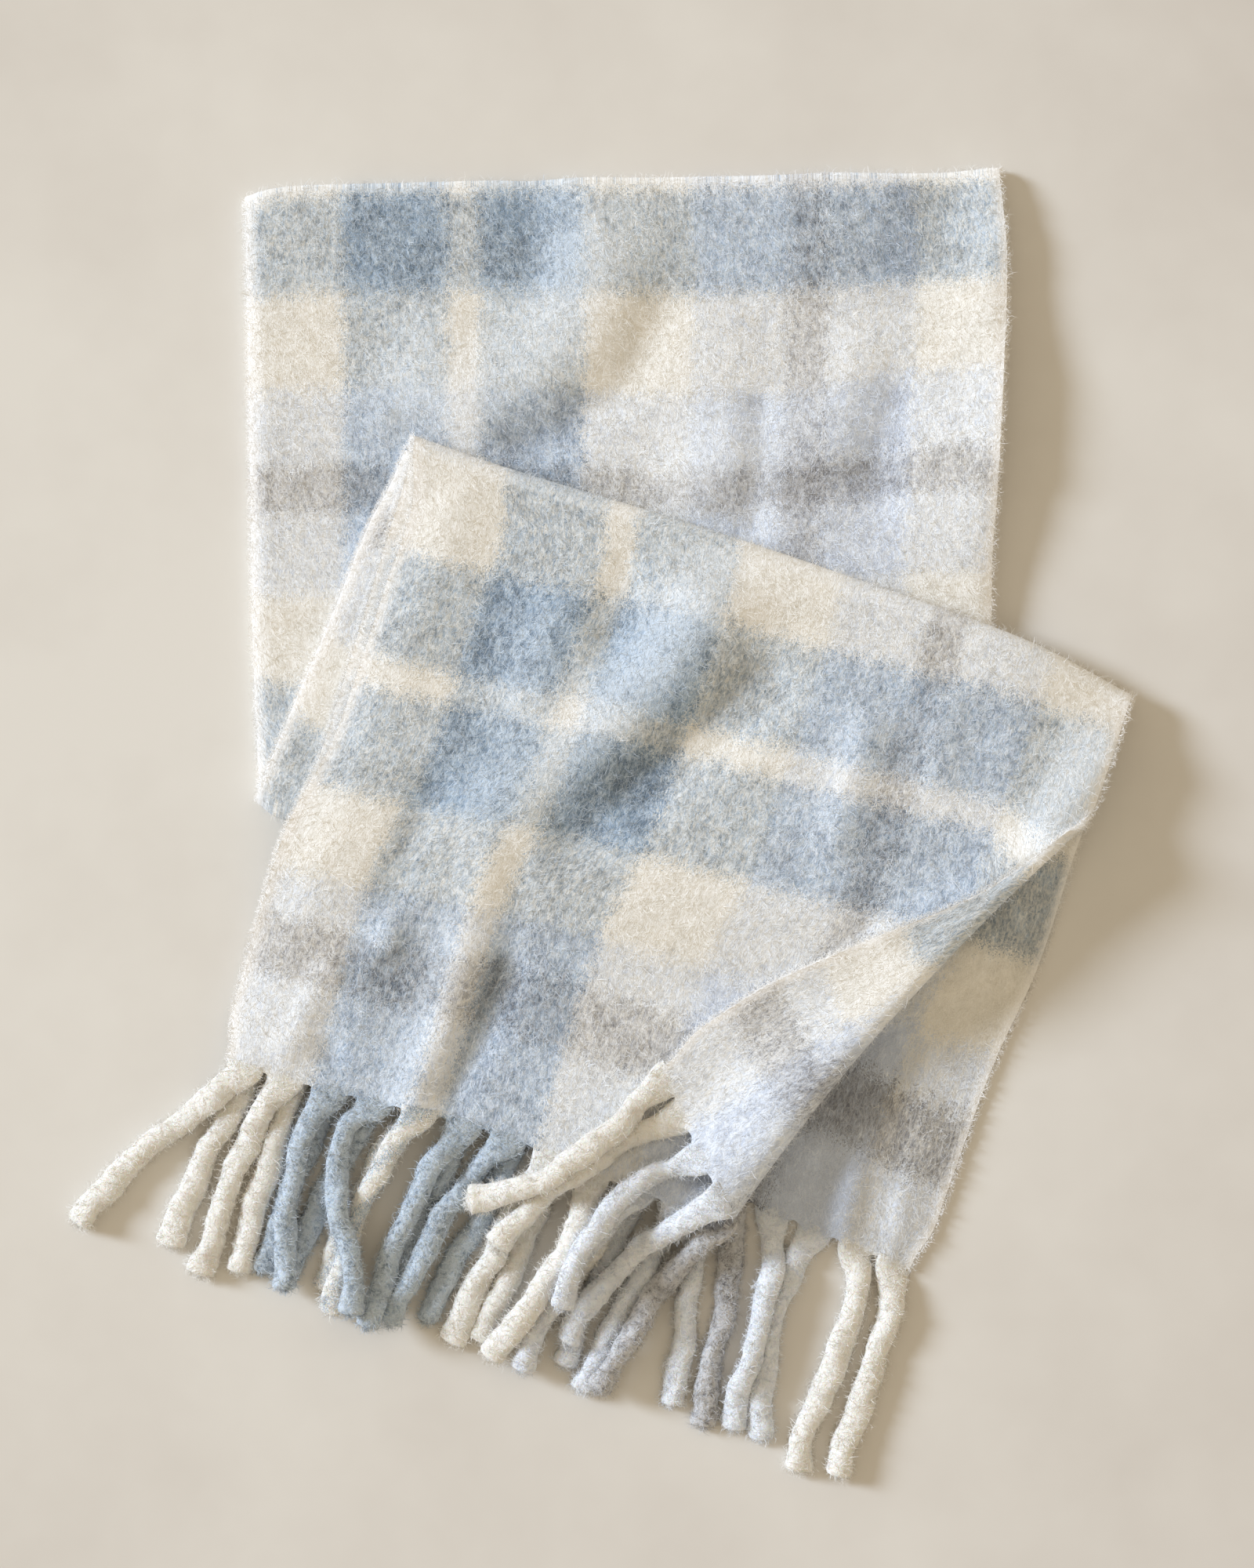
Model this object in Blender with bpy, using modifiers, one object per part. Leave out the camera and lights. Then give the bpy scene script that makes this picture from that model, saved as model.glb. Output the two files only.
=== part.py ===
"""A brushed wool blanket scarf, folded in half and then in three, lying on a flat surface.

The scarf is one woven rectangle with sixteen tassels at each end. Folded in half it is double, and the
double sheet then lies in three stretches: the back stretch on the floor, the middle stretch on the back
one, and the two ends on the middle one. The lower right corner of the upper end is turned over.

Metres, +Z up, with the origin on the floor under the middle of the scarf's box.
"""

import math

import bmesh
import bpy
from mathutils import Vector

PLAN_CENTRE = (0.0014, -0.0042)  # the middle of the scarf's box, in the coordinates of the plan below

# Driving sizes.
CLOTH_WIDTH = 0.45  # from selvedge to selvedge
TASSELS = 16  # at each end of the cloth
CLOTH = 0.0035  # one brushed layer
SEAM_GAP = 0.0003  # parting between two pieces
LAYER_AIR = 0.0007  # soft air between two layers that lie on each other
FLOOR_NAP = 0.0002  # a single layer's back stands this far off the floor
BACK_HEIGHT = 0.0095  # the back stretch, two layers and the air in them
MIDDLE_HEIGHT = 0.0087  # the middle stretch, two layers pressed by the ends on them
TURN_DEPTH = 0.012  # how much of the lower turn is solid from the floor to the middle stretch's top
CREST_RADIUS = 0.0070  # the upper turn, where the upper end rolls over into the middle stretch
CREST_SKEW = 0.005  # how far the roll's lower lip lies to the left of its top at the left selvedge
SKEW_SHARE = 0.25  # share of the width over which that skew dies out
HIDDEN_GAP = 0.0008  # parting at the two seams inside the turns
EDGE_ROUND = 0.0025  # rounding of a layered edge
EDGE_GROOVE = 0.0030  # how deep the parting between two layers goes in at an edge
TURN_ROUND = 0.0055  # rounding of a folded edge

# Where the sheet slopes down off what it lies on.
OFF_BACK = 0.080
OFF_MIDDLE = 0.035
OFF_TURN = 0.085
TURN_BULGE = 0.006  # how far the lower turn's curve runs past its straight line
SLOPE_STEP = 0.001

# The upper end's lift off the layer under it.
LOOSE_LIFT = 0.0035
LOOSE_MARGIN = 0.030
END_LIFT = 0.0053
END_MARGIN = 0.045

# The turned corner.
CORNER_TOP = (0.293, -0.001)  # where its fold meets the right selvedge
CORNER_END = (0.075, -0.240)  # where its fold meets the fringe
CORNER_RADIUS_TOP = 0.0060
CORNER_RADIUS_END = 0.0110
CORNER_AIR = 0.0025
CORNER_SETTLES = 0.060
CORNER_FACETS = 6
SHORTEST_EDGE = 0.0012  # points of a flat sheet closer than this are one

# Grids of the panels, in cells across and along.
BACK_CELLS = (18, 14)
MIDDLE_CELLS = (18, 8)
END_CELLS = (24, 26)
CREST_STEPS = 6

# Outlines in plan, each from left to right or from top to bottom.          x, y
BACK_TOP = [(-0.213, 0.373), (-0.188, 0.378), (-0.126, 0.380), (-0.048, 0.382), (0.070, 0.384), (0.237, 0.388)]
BACK_LEFT = [(-0.210, 0.207), (-0.208, 0.100)]
BACK_RIGHT = [(0.241, 0.339), (0.239, 0.267), (0.235, 0.194), (0.232, 0.150), (0.233, 0.060)]
TURN = [(-0.206, 0.009), (-0.190, -0.001), (0.015, -0.030), (0.231, -0.064)]
CREST = [(-0.110, 0.225), (-0.058, 0.207), (0.051, 0.174), (0.147, 0.142), (0.253, 0.104), (0.315, 0.072)]
MIDDLE_LEFT = [(-0.127, 0.197), (-0.139, 0.175), (-0.158, 0.128), (-0.189, 0.055)]
MIDDLE_RIGHT = [(0.272, 0.006)]
TOP_LEFT = [(-0.113, 0.185), (-0.128, 0.139), (-0.159, 0.048), (-0.186, -0.002), (-0.203, -0.052)]
TOP_RIGHT = [(0.302, 0.016), (0.289, -0.022), (0.262, -0.096), (0.235, -0.145), (0.214, -0.202)]
TOP_END = [(-0.228, -0.142), (-0.172, -0.158), (-0.069, -0.184), (0.015, -0.218), (0.075, -0.240), (0.189, -0.279)]
UNDER_LEFT = [(-0.119, 0.195), (-0.137, 0.137), (-0.166, 0.043), (-0.183, 0.000), (-0.198, -0.052)]
UNDER_END = [(-0.219, -0.130), (-0.104, -0.160), (0.015, -0.199), (0.108, -0.236), (0.190, -0.271)]

# Soft ridges and troughs.      x0, y0, x1, y1, half width, height
BACK_FOLDS = [
    (-0.060, 0.368, -0.067, 0.308, 0.016, -0.0020),
    (-0.079, 0.301, -0.083, 0.245, 0.015, 0.0020),
    (0.015, 0.301, -0.013, 0.268, 0.011, -0.0018),
    (-0.013, 0.268, -0.025, 0.233, 0.011, -0.0016),
    (0.052, 0.263, 0.045, 0.207, 0.018, 0.0025),
    (0.087, 0.212, 0.085, 0.177, 0.008, -0.0020),
    (0.118, 0.192, 0.160, 0.212, 0.012, -0.0018),
    (0.136, 0.370, 0.127, 0.301, 0.011, -0.0014),
    (0.202, 0.291, 0.211, 0.225, 0.026, 0.0030),
]
TOP_FOLDS = [
    (0.078, 0.165, 0.038, 0.132, 0.020, 0.0045),
    (0.038, 0.132, -0.032, 0.053, 0.020, 0.0050),
    (0.059, 0.095, 0.047, 0.067, 0.013, -0.0035),
    (0.047, 0.067, -0.025, 0.004, 0.014, -0.0045),
    (-0.055, -0.022, -0.079, -0.073, 0.014, 0.0060),
    (-0.079, -0.073, -0.116, -0.167, 0.014, 0.0060),
    (-0.053, -0.036, -0.074, -0.134, 0.010, -0.0045),
    (0.150, 0.044, 0.136, -0.008, 0.011, 0.0030),
    (0.190, 0.128, 0.174, 0.076, 0.011, 0.0025),
    (-0.097, 0.016, -0.125, -0.040, 0.013, -0.0025),
    (-0.154, -0.089, -0.189, -0.143, 0.009, 0.0035),
    (-0.125, -0.092, -0.158, -0.134, 0.009, -0.0025),
]
UNDER_FOLDS = [
    (0.197, -0.134, 0.183, -0.241, 0.011, 0.0040),
    (0.150, -0.176, 0.132, -0.241, 0.011, 0.0035),
]

# The tassels. A bearing is in degrees from straight down the page, positive to the left.
TASSEL_HALF_WIDTH = 0.0045
TASSEL_HALF_HEIGHT = 0.0045
UNDER_HALF_HEIGHT = 0.0031  # the lower end's tassels are pressed flat under the upper end's
TASSEL_TIP = 0.80  # size of a tassel's tip against its middle
TASSEL_RINGS = 12
ROOT_HALF_WIDTH = CLOTH_WIDTH / TASSELS / 6
STRIP_DEPTH = 0.0050
TASSEL_CLEAR = 0.0006
TASSEL_MARGIN = 0.0045
TASSEL_FALL = 0.45  # steepest fall of a tassel along its length
TASSEL_CLIMB = 0.70

# root across the cloth in tassel pitches, length, bearing at the root, in the middle and at the tip
TOP_TASSELS = [
    (0.5, 0.130, 35, 52, 38),
    (1.5, 0.128, 24, 16, 17),
    (2.5, 0.120, 8, 3, 9),
    (3.5, 0.131, 12, -12, 4),
    (4.5, 0.125, 28, 21, 12),
    (5.5, 0.125, 32, 21, 15),
    (6.5, 0.127, 30, 24, 22),
    (7.5, 0.130, 24, 30, 19),
    (8.5, 0.128, 40, 36, 20),
    (9.5, 0.130, 34, 32, 20),
    (10.5, 0.128, 28, 27, 20),
]
CORNER_TASSELS = [
    (11.5, 0.118, 42, 28, 14),
    (12.5, 0.127, 72, 46, 26),
    (13.5, 0.130, 66, 50, 14),
    (14.5, 0.135, 56, 60, 42),
    (15.5, 0.150, 52, 52, 76),
]
UNDER_TASSELS = [
    (0.5, 0.130, 24, 30, 12),
    (1.5, 0.133, 14, 18, 11),
    (2.5, 0.131, 26, 22, 11),
    (3.5, 0.133, 30, 28, 16),
    (4.5, 0.135, 45, 26, 18),
    (5.5, 0.130, 26, 24, 20),
    (6.5, 0.133, 12, 32, 22),
    (7.5, 0.133, 18, 22, 23),
    (8.5, 0.134, 4, 34, 28),
    (9.5, 0.130, 20, 24, 20),
    (10.5, 0.135, -10, 8, 5),
    (11.5, 0.138, 12, 14, 4),
    (12.5, 0.128, 22, 11, 5),
    (13.5, 0.130, 36, 10, 4),
    (14.5, 0.138, -6, 24, 3),
    (15.5, 0.130, 2, 20, 10),
]
TOP_STRIP = (0.010, 0.668)  # the stretch of the cloth's end that a backing strip follows
CORNER_STRIP = (0.680, 0.990)
UNDER_STRIP = (0.010, 0.990)

CREAM = (0.86, 0.80, 0.70, 1.0)
PALE_BLUE = (0.60, 0.68, 0.76, 1.0)
GREY_BLUE = (0.30, 0.37, 0.45, 1.0)


# Plan geometry.
def curve_through(points):
    """A smooth plan curve through the points, read from 0 at its start to 1 at its end."""
    knots = [Vector(point) for point in points]
    reach = [0.0]
    for before, after in zip(knots, knots[1:]):
        reach.append(reach[-1] + (after - before).length)

    def slope(k):
        low, high = max(k - 1, 0), min(k + 1, len(knots) - 1)
        return (knots[high] - knots[low]) / (reach[high] - reach[low])

    def at(share):
        distance = share * reach[-1]
        k = max(i for i in range(len(knots) - 1) if i == 0 or reach[i] <= distance)
        span = reach[k + 1] - reach[k]
        t = (distance - reach[k]) / span
        ease = t * t * (3 - 2 * t)
        start, end = slope(k) * span, slope(k + 1) * span
        return (
            knots[k] * (1 - ease)
            + knots[k + 1] * ease
            + start * (t * (1 - t) ** 2)
            - end * (t * t * (1 - t))
        )

    return at


def moved(curve, offset):
    return lambda share: curve(share) + offset


def patch(top, bottom, left_points, right_points):
    """A four-sided plan surface between two curves, with its sides bent through the points given."""
    left = curve_through([top(0), *left_points, bottom(0)])
    right = curve_through([top(1), *right_points, bottom(1)])

    def at(across, along):
        down = top(across) * (1 - along) + bottom(across) * along
        over = left(along) * (1 - across) + right(along) * across
        upper = top(0) * (1 - across) + top(1) * across
        lower = bottom(0) * (1 - across) + bottom(1) * across
        return down + over - upper * (1 - along) - lower * along

    return at


def outward_of(points, side):
    """The unit plan direction square to a line of points, to its left for 1 and to its right for -1."""
    run = (Vector(points[-1]) - Vector(points[0])).normalized()
    return Vector((-run.y, run.x)) * side


def beyond(points, side, place):
    """How far a place lies outside the straight line between the first and last points."""
    return (Vector(place) - Vector(points[0])).dot(outward_of(points, side))


def smooth(t):
    t = min(max(t, 0.0), 1.0)
    return t * t * (3 - 2 * t)


def fall(distance, width):
    """1 before an edge, and smoothly down to 0 over the width past it."""
    return 1 - smooth(distance / width)


def relief(folds, place):
    """The height that a table of soft ridges and troughs gives at a place."""
    height = 0.0
    for x0, y0, x1, y1, half_width, rise in folds:
        start = Vector((x0, y0))
        run = Vector((x1, y1)) - start
        share = min(max((Vector(place) - start).dot(run) / run.length_squared, 0.0), 1.0)
        distance = (Vector(place) - start - run * share).length
        height += rise * math.exp(-((distance / half_width) ** 2))
    return height


CREST_OUT = outward_of(CREST, 1)
TURN_OUT = outward_of(TURN, -1)
BACK_EDGE = [BACK_RIGHT[-2], TURN[-1]]
MIDDLE_EDGE = [CREST[-1], TURN[-1]]

crest_line = moved(curve_through(CREST), CREST_OUT * -CREST_RADIUS)
turn_line = curve_through(TURN)
shoulder_line = moved(turn_line, TURN_OUT * -(TURN_DEPTH + SEAM_GAP))
ALONG_CREST = Vector((CREST_OUT.y, -CREST_OUT.x))


def middle_top_line(share):
    """The middle stretch ends behind the roll's lower lip, a little further to the left than the roll's top."""
    return crest_line(share) - CREST_OUT * HIDDEN_GAP - ALONG_CREST * CREST_SKEW * fall(share, SKEW_SHARE)


back_plan = patch(curve_through(BACK_TOP), shoulder_line, BACK_LEFT, BACK_RIGHT)
middle_plan = patch(
    middle_top_line, moved(shoulder_line, TURN_OUT * -HIDDEN_GAP), MIDDLE_LEFT, MIDDLE_RIGHT
)
top_plan = patch(crest_line, curve_through(TOP_END), TOP_LEFT, TOP_RIGHT)
under_left = curve_through([crest_line(0), *UNDER_LEFT, UNDER_END[0]])
under_end = curve_through(UNDER_END)


def under_plan(across, along):
    """The lower end lies in the upper one's plan, but for its left selvedge and its fringe end."""
    place = top_plan(across, along)
    left_share = fall(across, 0.10)
    end_share = smooth((along - 0.75) / 0.25)
    left_shift = (under_left(along) - top_plan(0, along)) * left_share * (1 - end_share)
    return place + left_shift + (under_end(across) - top_plan(across, 1)) * end_share


# Heights.
def bed_height(place):
    """The back stretch's top, and the slope that the layers on it take down past its right edge."""
    return BACK_HEIGHT * fall(beyond(BACK_EDGE, 1, place) - EDGE_ROUND, OFF_BACK)


def back_top(place):
    under_crest = smooth((beyond(CREST, 1, place) - 0.002) / 0.020)
    under_middle = smooth((-beyond([MIDDLE_LEFT[0], TURN[0]], 1, place) - 0.002) / 0.020)
    return BACK_HEIGHT + relief(BACK_FOLDS, place) * max(under_crest, under_middle)


def middle_bottom(place):
    return bed_height(place) + SEAM_GAP


def middle_top(place):
    return middle_bottom(place) + MIDDLE_HEIGHT


def pile_height(place):
    """The back of the lower end: on the middle stretch, and down to the floor past its edges."""
    off_side = fall(beyond(MIDDLE_EDGE, 1, place) - SLOPE_STEP, OFF_MIDDLE)
    off_turn = fall(beyond(TURN, -1, place) - TURN_BULGE, OFF_TURN)
    rest = (middle_top(place) + LAYER_AIR - FLOOR_NAP) * off_side * off_turn
    return rest + FLOOR_NAP + relief(UNDER_FOLDS, place)


def slant(place):
    """How much taller a sloping layer stands than a level one."""
    here = pile_height(place)
    east = pile_height((place[0] + SLOPE_STEP, place[1])) - here
    north = pile_height((place[0], place[1] + SLOPE_STEP)) - here
    return math.sqrt(1 + (east * east + north * north) / SLOPE_STEP**2)


def under_middle_height(place):
    return pile_height(place) + CLOTH / 2 * slant(place)


def top_lift(place):
    """How far the upper end stands off the lower one: loose in its middle, and over the tassels at its end."""
    from_crest = -beyond(CREST, 1, place) - CREST_RADIUS
    from_left = -beyond([TOP_LEFT[0], TOP_LEFT[-1]], -1, place)
    from_right = -beyond([CREST[-1], TOP_END[-1]], 1, place)
    from_end = -beyond([TOP_END[0], TOP_END[-1]], -1, place)
    free = smooth(from_crest / LOOSE_MARGIN) * smooth(from_left / LOOSE_MARGIN)
    free *= smooth(from_right / LOOSE_MARGIN)
    loose = (LOOSE_LIFT + relief(TOP_FOLDS, place)) * free
    return max(loose, 0.0) + END_LIFT * fall(from_end, END_MARGIN) + LAYER_AIR


def top_middle_height(place):
    """The middle of the upper end's wall."""
    return pile_height(place) + CLOTH * 1.5 * slant(place) + top_lift(place)


# The turned corner.
CORNER_RUN = (Vector(CORNER_END) - Vector(CORNER_TOP)).normalized()
CORNER_OUT = Vector((-CORNER_RUN.y, CORNER_RUN.x))
CORNER_LENGTH = (Vector(CORNER_END) - Vector(CORNER_TOP)).length


def corner_radius(distance_along):
    share = distance_along / CORNER_LENGTH
    return CORNER_RADIUS_TOP + (CORNER_RADIUS_END - CORNER_RADIUS_TOP) * share


def corner_line_point(distance_along, turn):
    """The flat place that comes to lie at an angle round the corner's roll."""
    radius = corner_radius(distance_along)
    return Vector(CORNER_TOP) + CORNER_RUN * distance_along + CORNER_OUT * radius * (turn - 1)


def laid_top(place):
    """Where a point of the upper end lies: in its plan, round the corner's roll, or turned over on itself."""
    place = Vector(place)
    distance_along = (place - Vector(CORNER_TOP)).dot(CORNER_RUN)
    radius = corner_radius(distance_along)
    past = (place - Vector(CORNER_TOP)).dot(CORNER_OUT) + radius
    if past <= 0:
        return Vector((place.x, place.y, top_middle_height(place)))
    base = Vector(CORNER_TOP) + CORNER_RUN * distance_along - CORNER_OUT * radius
    base_height = top_middle_height(base)
    turn = past / radius
    if turn < math.pi:
        spot = base + CORNER_OUT * radius * math.sin(turn)
        return Vector((spot.x, spot.y, base_height + radius * (1 - math.cos(turn))))
    back = past - math.pi * radius
    spot = base - CORNER_OUT * back
    rest = top_middle_height(spot) + CLOTH + CORNER_AIR
    over = max(base_height + 2 * radius - rest, 0.0)
    return Vector((spot.x, spot.y, rest + over * fall(back, CORNER_SETTLES)))


def laid_under(place):
    return Vector((place[0], place[1], under_middle_height(place)))


# Making solids.
def finish_object(name, mesh, collection, colour):
    thing = bpy.data.objects.new(name, mesh)
    collection.objects.link(thing)
    thing.location.xy = -Vector(PLAN_CENTRE)
    material = bpy.data.materials.new(name + "_wool")
    material.use_nodes = True
    shader = material.node_tree.nodes["Principled BSDF"]
    shader.inputs["Base Color"].default_value = colour
    shader.inputs["Roughness"].default_value = 0.95
    shader.inputs["Metallic"].default_value = 0.0
    mesh.materials.append(material)
    return thing


def flat_grid(cells):
    """A triangulated grid whose points know their share across and along the cloth, from its top left."""
    grid = bmesh.new()
    across, along = (grid.verts.layers.float.new(name) for name in ("across", "along"))
    bmesh.ops.create_grid(grid, x_segments=cells[0], y_segments=cells[1], size=0.5)
    for vert in grid.verts:
        vert[across], vert[along] = vert.co.x + 0.5, 0.5 - vert.co.y
    bmesh.ops.triangulate(grid, faces=grid.faces[:], quad_method="FIXED")
    return grid


def edge_profile(share_side, turn_round):
    """Heights from 1 at the top to 0, with how far each ring of a slab's edge lies inside its outline."""
    lip, groove = EDGE_ROUND, EDGE_GROOVE * share_side
    shoulder = turn_round * 0.2 * (1 - share_side)
    corner = lip * share_side + turn_round * (1 - share_side)
    return [
        (1.00, corner),
        (0.80, shoulder),
        (0.57, 0.0003 * share_side),
        (0.50, groove),
        (0.43, 0.0003 * share_side),
        (0.20, shoulder),
        (0.00, corner),
    ]


def slab(name, plan, rows, columns, top, bottom, turn_rounds, collection, colour):
    """Two layers in one rounded solid: a top and a bottom grid, joined by rings that show both layers.

    rows and columns are the shares at which the grid's lines lie, and turn_rounds the rounding of its
    first and of its last row, where the layers are folded or butt against the next stretch.
    """
    body = bmesh.new()

    def outward(i, j):
        """Out of the outline at a border point of the grid."""
        across, along = columns[i], rows[j]
        here = plan(across, along)
        out = Vector((0, 0))
        if i in (0, len(columns) - 1):
            inner = plan(columns[1] if i == 0 else columns[-2], along)
            out += (here - inner).normalized()
        if j in (0, len(rows) - 1):
            inner = plan(across, rows[1] if j == 0 else rows[-2])
            out += (here - inner).normalized()
        return out

    def on_border(i, j):
        return i in (0, len(columns) - 1) or j in (0, len(rows) - 1)

    def profile(i, j):
        """A folded edge is whole, and a side shows its two layers."""
        if j == 0:
            return edge_profile(0.0, turn_rounds[0])
        if j == len(rows) - 1:
            return edge_profile(0.0, turn_rounds[1])
        return edge_profile(1.0, 0.0)

    def grid_verts(height, level):
        verts = {}
        for j, along in enumerate(rows):
            for i, across in enumerate(columns):
                place = plan(across, along)
                if on_border(i, j):
                    place = place - outward(i, j) * profile(i, j)[level][1]
                verts[i, j] = body.verts.new((place.x, place.y, height(place, along)))
        return verts

    border = [(i, 0) for i in range(len(columns))]
    border += [(len(columns) - 1, j) for j in range(1, len(rows))]
    border += [(i, len(rows) - 1) for i in range(len(columns) - 2, -1, -1)]
    border += [(0, j) for j in range(len(rows) - 2, 0, -1)]

    upper, lower = grid_verts(top, 0), grid_verts(bottom, -1)
    for j in range(len(rows) - 1):
        for i in range(len(columns) - 1):
            corners = [(i, j), (i, j + 1), (i + 1, j + 1), (i + 1, j)]
            body.faces.new([upper[corner] for corner in corners])
            body.faces.new([lower[corner] for corner in reversed(corners)])
    rings = [[upper[spot] for spot in border]]
    for level in range(1, len(edge_profile(1.0, 0.0)) - 1):
        ring = []
        for i, j in border:
            outline = plan(columns[i], rows[j])
            share, inset = profile(i, j)[level]
            high, low = top(outline, rows[j]), bottom(outline, rows[j])
            place = outline - outward(i, j) * inset
            ring.append(body.verts.new((place.x, place.y, low + (high - low) * share)))
        rings.append(ring)
    rings.append([lower[spot] for spot in border])
    for above, below in zip(rings, rings[1:]):
        for k in range(len(border)):
            following = (k + 1) % len(border)
            body.faces.new([above[k], above[following], below[following], below[k]])
    return solid(name, body, collection, colour)


def solid(name, body, collection, colour):
    bmesh.ops.recalc_face_normals(body, faces=body.faces[:])
    bmesh.ops.triangulate(body, faces=body.faces[:])
    mesh = bpy.data.meshes.new(name)
    body.to_mesh(mesh)
    body.free()
    return finish_object(name, mesh, collection, colour)


def even_shares(count, last=1.0):
    return [last * k / count for k in range(count + 1)]


def back_stretch(collection):
    """The back stretch, with the whole lower turn, which rises past it to the middle stretch's top."""
    rim_start = 1 + SEAM_GAP / TURN_DEPTH

    def plan(across, along):
        if along <= 1:
            return back_plan(across, along)
        return shoulder_line(across).lerp(turn_line(across), along - 1)

    def top(place, along):
        return back_top(place) if along <= 1 else middle_top(place)

    rows = even_shares(BACK_CELLS[1]) + [rim_start, 2.0]
    return slab(
        "back_stretch",
        plan,
        rows,
        even_shares(BACK_CELLS[0]),
        top,
        lambda place, along: 0.0,
        (BACK_HEIGHT / 2, TURN_ROUND),
        collection,
        PALE_BLUE,
    )


def middle_stretch(collection):
    return slab(
        "middle_stretch",
        middle_plan,
        even_shares(MIDDLE_CELLS[1]),
        even_shares(MIDDLE_CELLS[0]),
        lambda place, along: middle_top(place),
        lambda place, along: middle_bottom(place),
        (0.0, 0.0),
        collection,
        CREAM,
    )


def wall(name, sheet, collection, colour):
    """Gives a laid sheet its thickness, half to each side."""
    mesh = bpy.data.meshes.new(name)
    sheet.to_mesh(mesh)
    sheet.free()
    thing = finish_object(name, mesh, collection, colour)
    thickness = thing.modifiers.new("cloth", "SOLIDIFY")
    thickness.thickness = CLOTH
    thickness.offset = 0.0
    thickness.use_even_offset = True
    return thing


def lay(sheet, plan, laid):
    """Puts each point of a flat sheet where it comes to lie. Returns its fringe end, for the strip there."""
    across, along = (sheet.verts.layers.float[name] for name in ("across", "along"))
    end = []
    for vert in sheet.verts:
        flat = plan(vert[across], vert[along])
        vert.co = laid(flat)
        if vert[along] > 1 - 1e-5:
            down = (flat - plan(vert[across], 0.97)).normalized()
            end.append((vert[across], vert, laid(flat + down * SLOPE_STEP) - vert.co))
    sheet.normal_update()
    end.sort(key=lambda row: row[0])
    return [(share, vert.co.copy(), vert.normal.copy(), down.normalized()) for share, vert, down in end]


def under_end_wall(collection):
    sheet = flat_grid(END_CELLS)
    end = lay(sheet, under_plan, laid_under)
    wall("under_end", sheet, collection, CREAM)
    return end


def top_end_wall(collection):
    """The upper end, with the roll of the upper turn along its top and its corner turned over."""
    sheet = flat_grid(END_CELLS)
    across, along = (sheet.verts.layers.float[name] for name in ("across", "along"))
    crest_edges = [edge for edge in sheet.edges if all(vert[along] < 1e-5 for vert in edge.verts)]
    for vert in sheet.verts:
        vert.co.xy = top_plan(vert[across], vert[along])
    for facet in range(CORNER_FACETS + 1):
        turn = math.pi * facet / CORNER_FACETS
        start, end = corner_line_point(0, turn), corner_line_point(CORNER_LENGTH, turn)
        run = (end - start).normalized()
        bmesh.ops.bisect_plane(
            sheet,
            geom=sheet.verts[:] + sheet.edges[:] + sheet.faces[:],
            plane_co=(start.x, start.y, 0),
            plane_no=(-run.y, run.x, 0),
        )
    bmesh.ops.remove_doubles(sheet, verts=sheet.verts[:], dist=SHORTEST_EDGE)
    bmesh.ops.triangulate(sheet, faces=sheet.faces[:])
    end = lay(sheet, top_plan, laid_top)
    roll_over(sheet, crest_edges)
    wall("top_end", sheet, collection, PALE_BLUE)
    return end


def roll_over(sheet, crest_edges):
    """Takes the sheet's upper edge over the crest and down to the back stretch, row by row."""
    edges = crest_edges
    starts = {vert: vert.co.copy() for edge in edges for vert in edge.verts}
    for step in range(1, CREST_STEPS + 1):
        made = bmesh.ops.extrude_edge_only(sheet, edges=edges)["geom"]
        fresh = {item for item in made if isinstance(item, bmesh.types.BMVert)}
        edges = [item for item in made if isinstance(item, bmesh.types.BMEdge) and set(item.verts) <= fresh]
        angle = math.pi * step / CREST_STEPS
        above, starts = starts, {}
        for vert in fresh:
            neighbours = [edge.other_vert(vert) for edge in vert.link_edges]
            start = next(above[other] for other in neighbours if other in above)
            starts[vert] = start
            lip = bed_height(start.xy) + SEAM_GAP + CLOTH / 2
            from_left = (start.xy - crest_line(0)).length / CLOTH_WIDTH
            skew = CREST_SKEW * step / CREST_STEPS * fall(from_left, SKEW_SHARE)
            spot = start.xy + CREST_OUT * CREST_RADIUS * math.sin(angle) - ALONG_CREST * skew
            height = lip + (start.z - lip) * (1 + math.cos(angle)) / 2
            vert.co = Vector((spot.x, spot.y, height))
    bmesh.ops.recalc_face_normals(sheet, faces=sheet.faces[:])


# Tassels.
def bearing_direction(degrees):
    return Vector((-math.sin(math.radians(degrees)), -math.cos(math.radians(degrees))))


def tassel_route(start, length, bearings):
    """Even steps in plan from the root, with the bearing bending smoothly from root to tip."""
    root, middle, tip = bearings
    step = length / TASSEL_RINGS
    places, directions = [Vector(start)], []
    for k in range(TASSEL_RINGS + 1):
        t = k / TASSEL_RINGS
        bearing = root * (1 - t) * (1 - 2 * t) + middle * 4 * t * (1 - t) + tip * t * (2 * t - 1)
        directions.append(bearing_direction(bearing))
        if k < TASSEL_RINGS:
            places.append(places[-1] + directions[-1] * step)
    return places, directions


def rest_height(place, laid, half_height):
    """The lowest that a tassel's middle may lie at a place, on the floor and on the tassels laid before."""
    lowest = half_height + TASSEL_CLEAR
    for places, heights, lower_half in laid:
        for k in range(len(places) - 1):
            run = places[k + 1] - places[k]
            share = min(max((place - places[k]).dot(run) / run.length_squared, 0.0), 1.0)
            distance = (place - places[k] - run * share).length
            if distance < 2 * TASSEL_HALF_WIDTH + TASSEL_MARGIN:
                height = heights[k] + (heights[k + 1] - heights[k]) * share
                lowest = max(lowest, height + lower_half + half_height + TASSEL_CLEAR)
    return lowest


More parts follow.
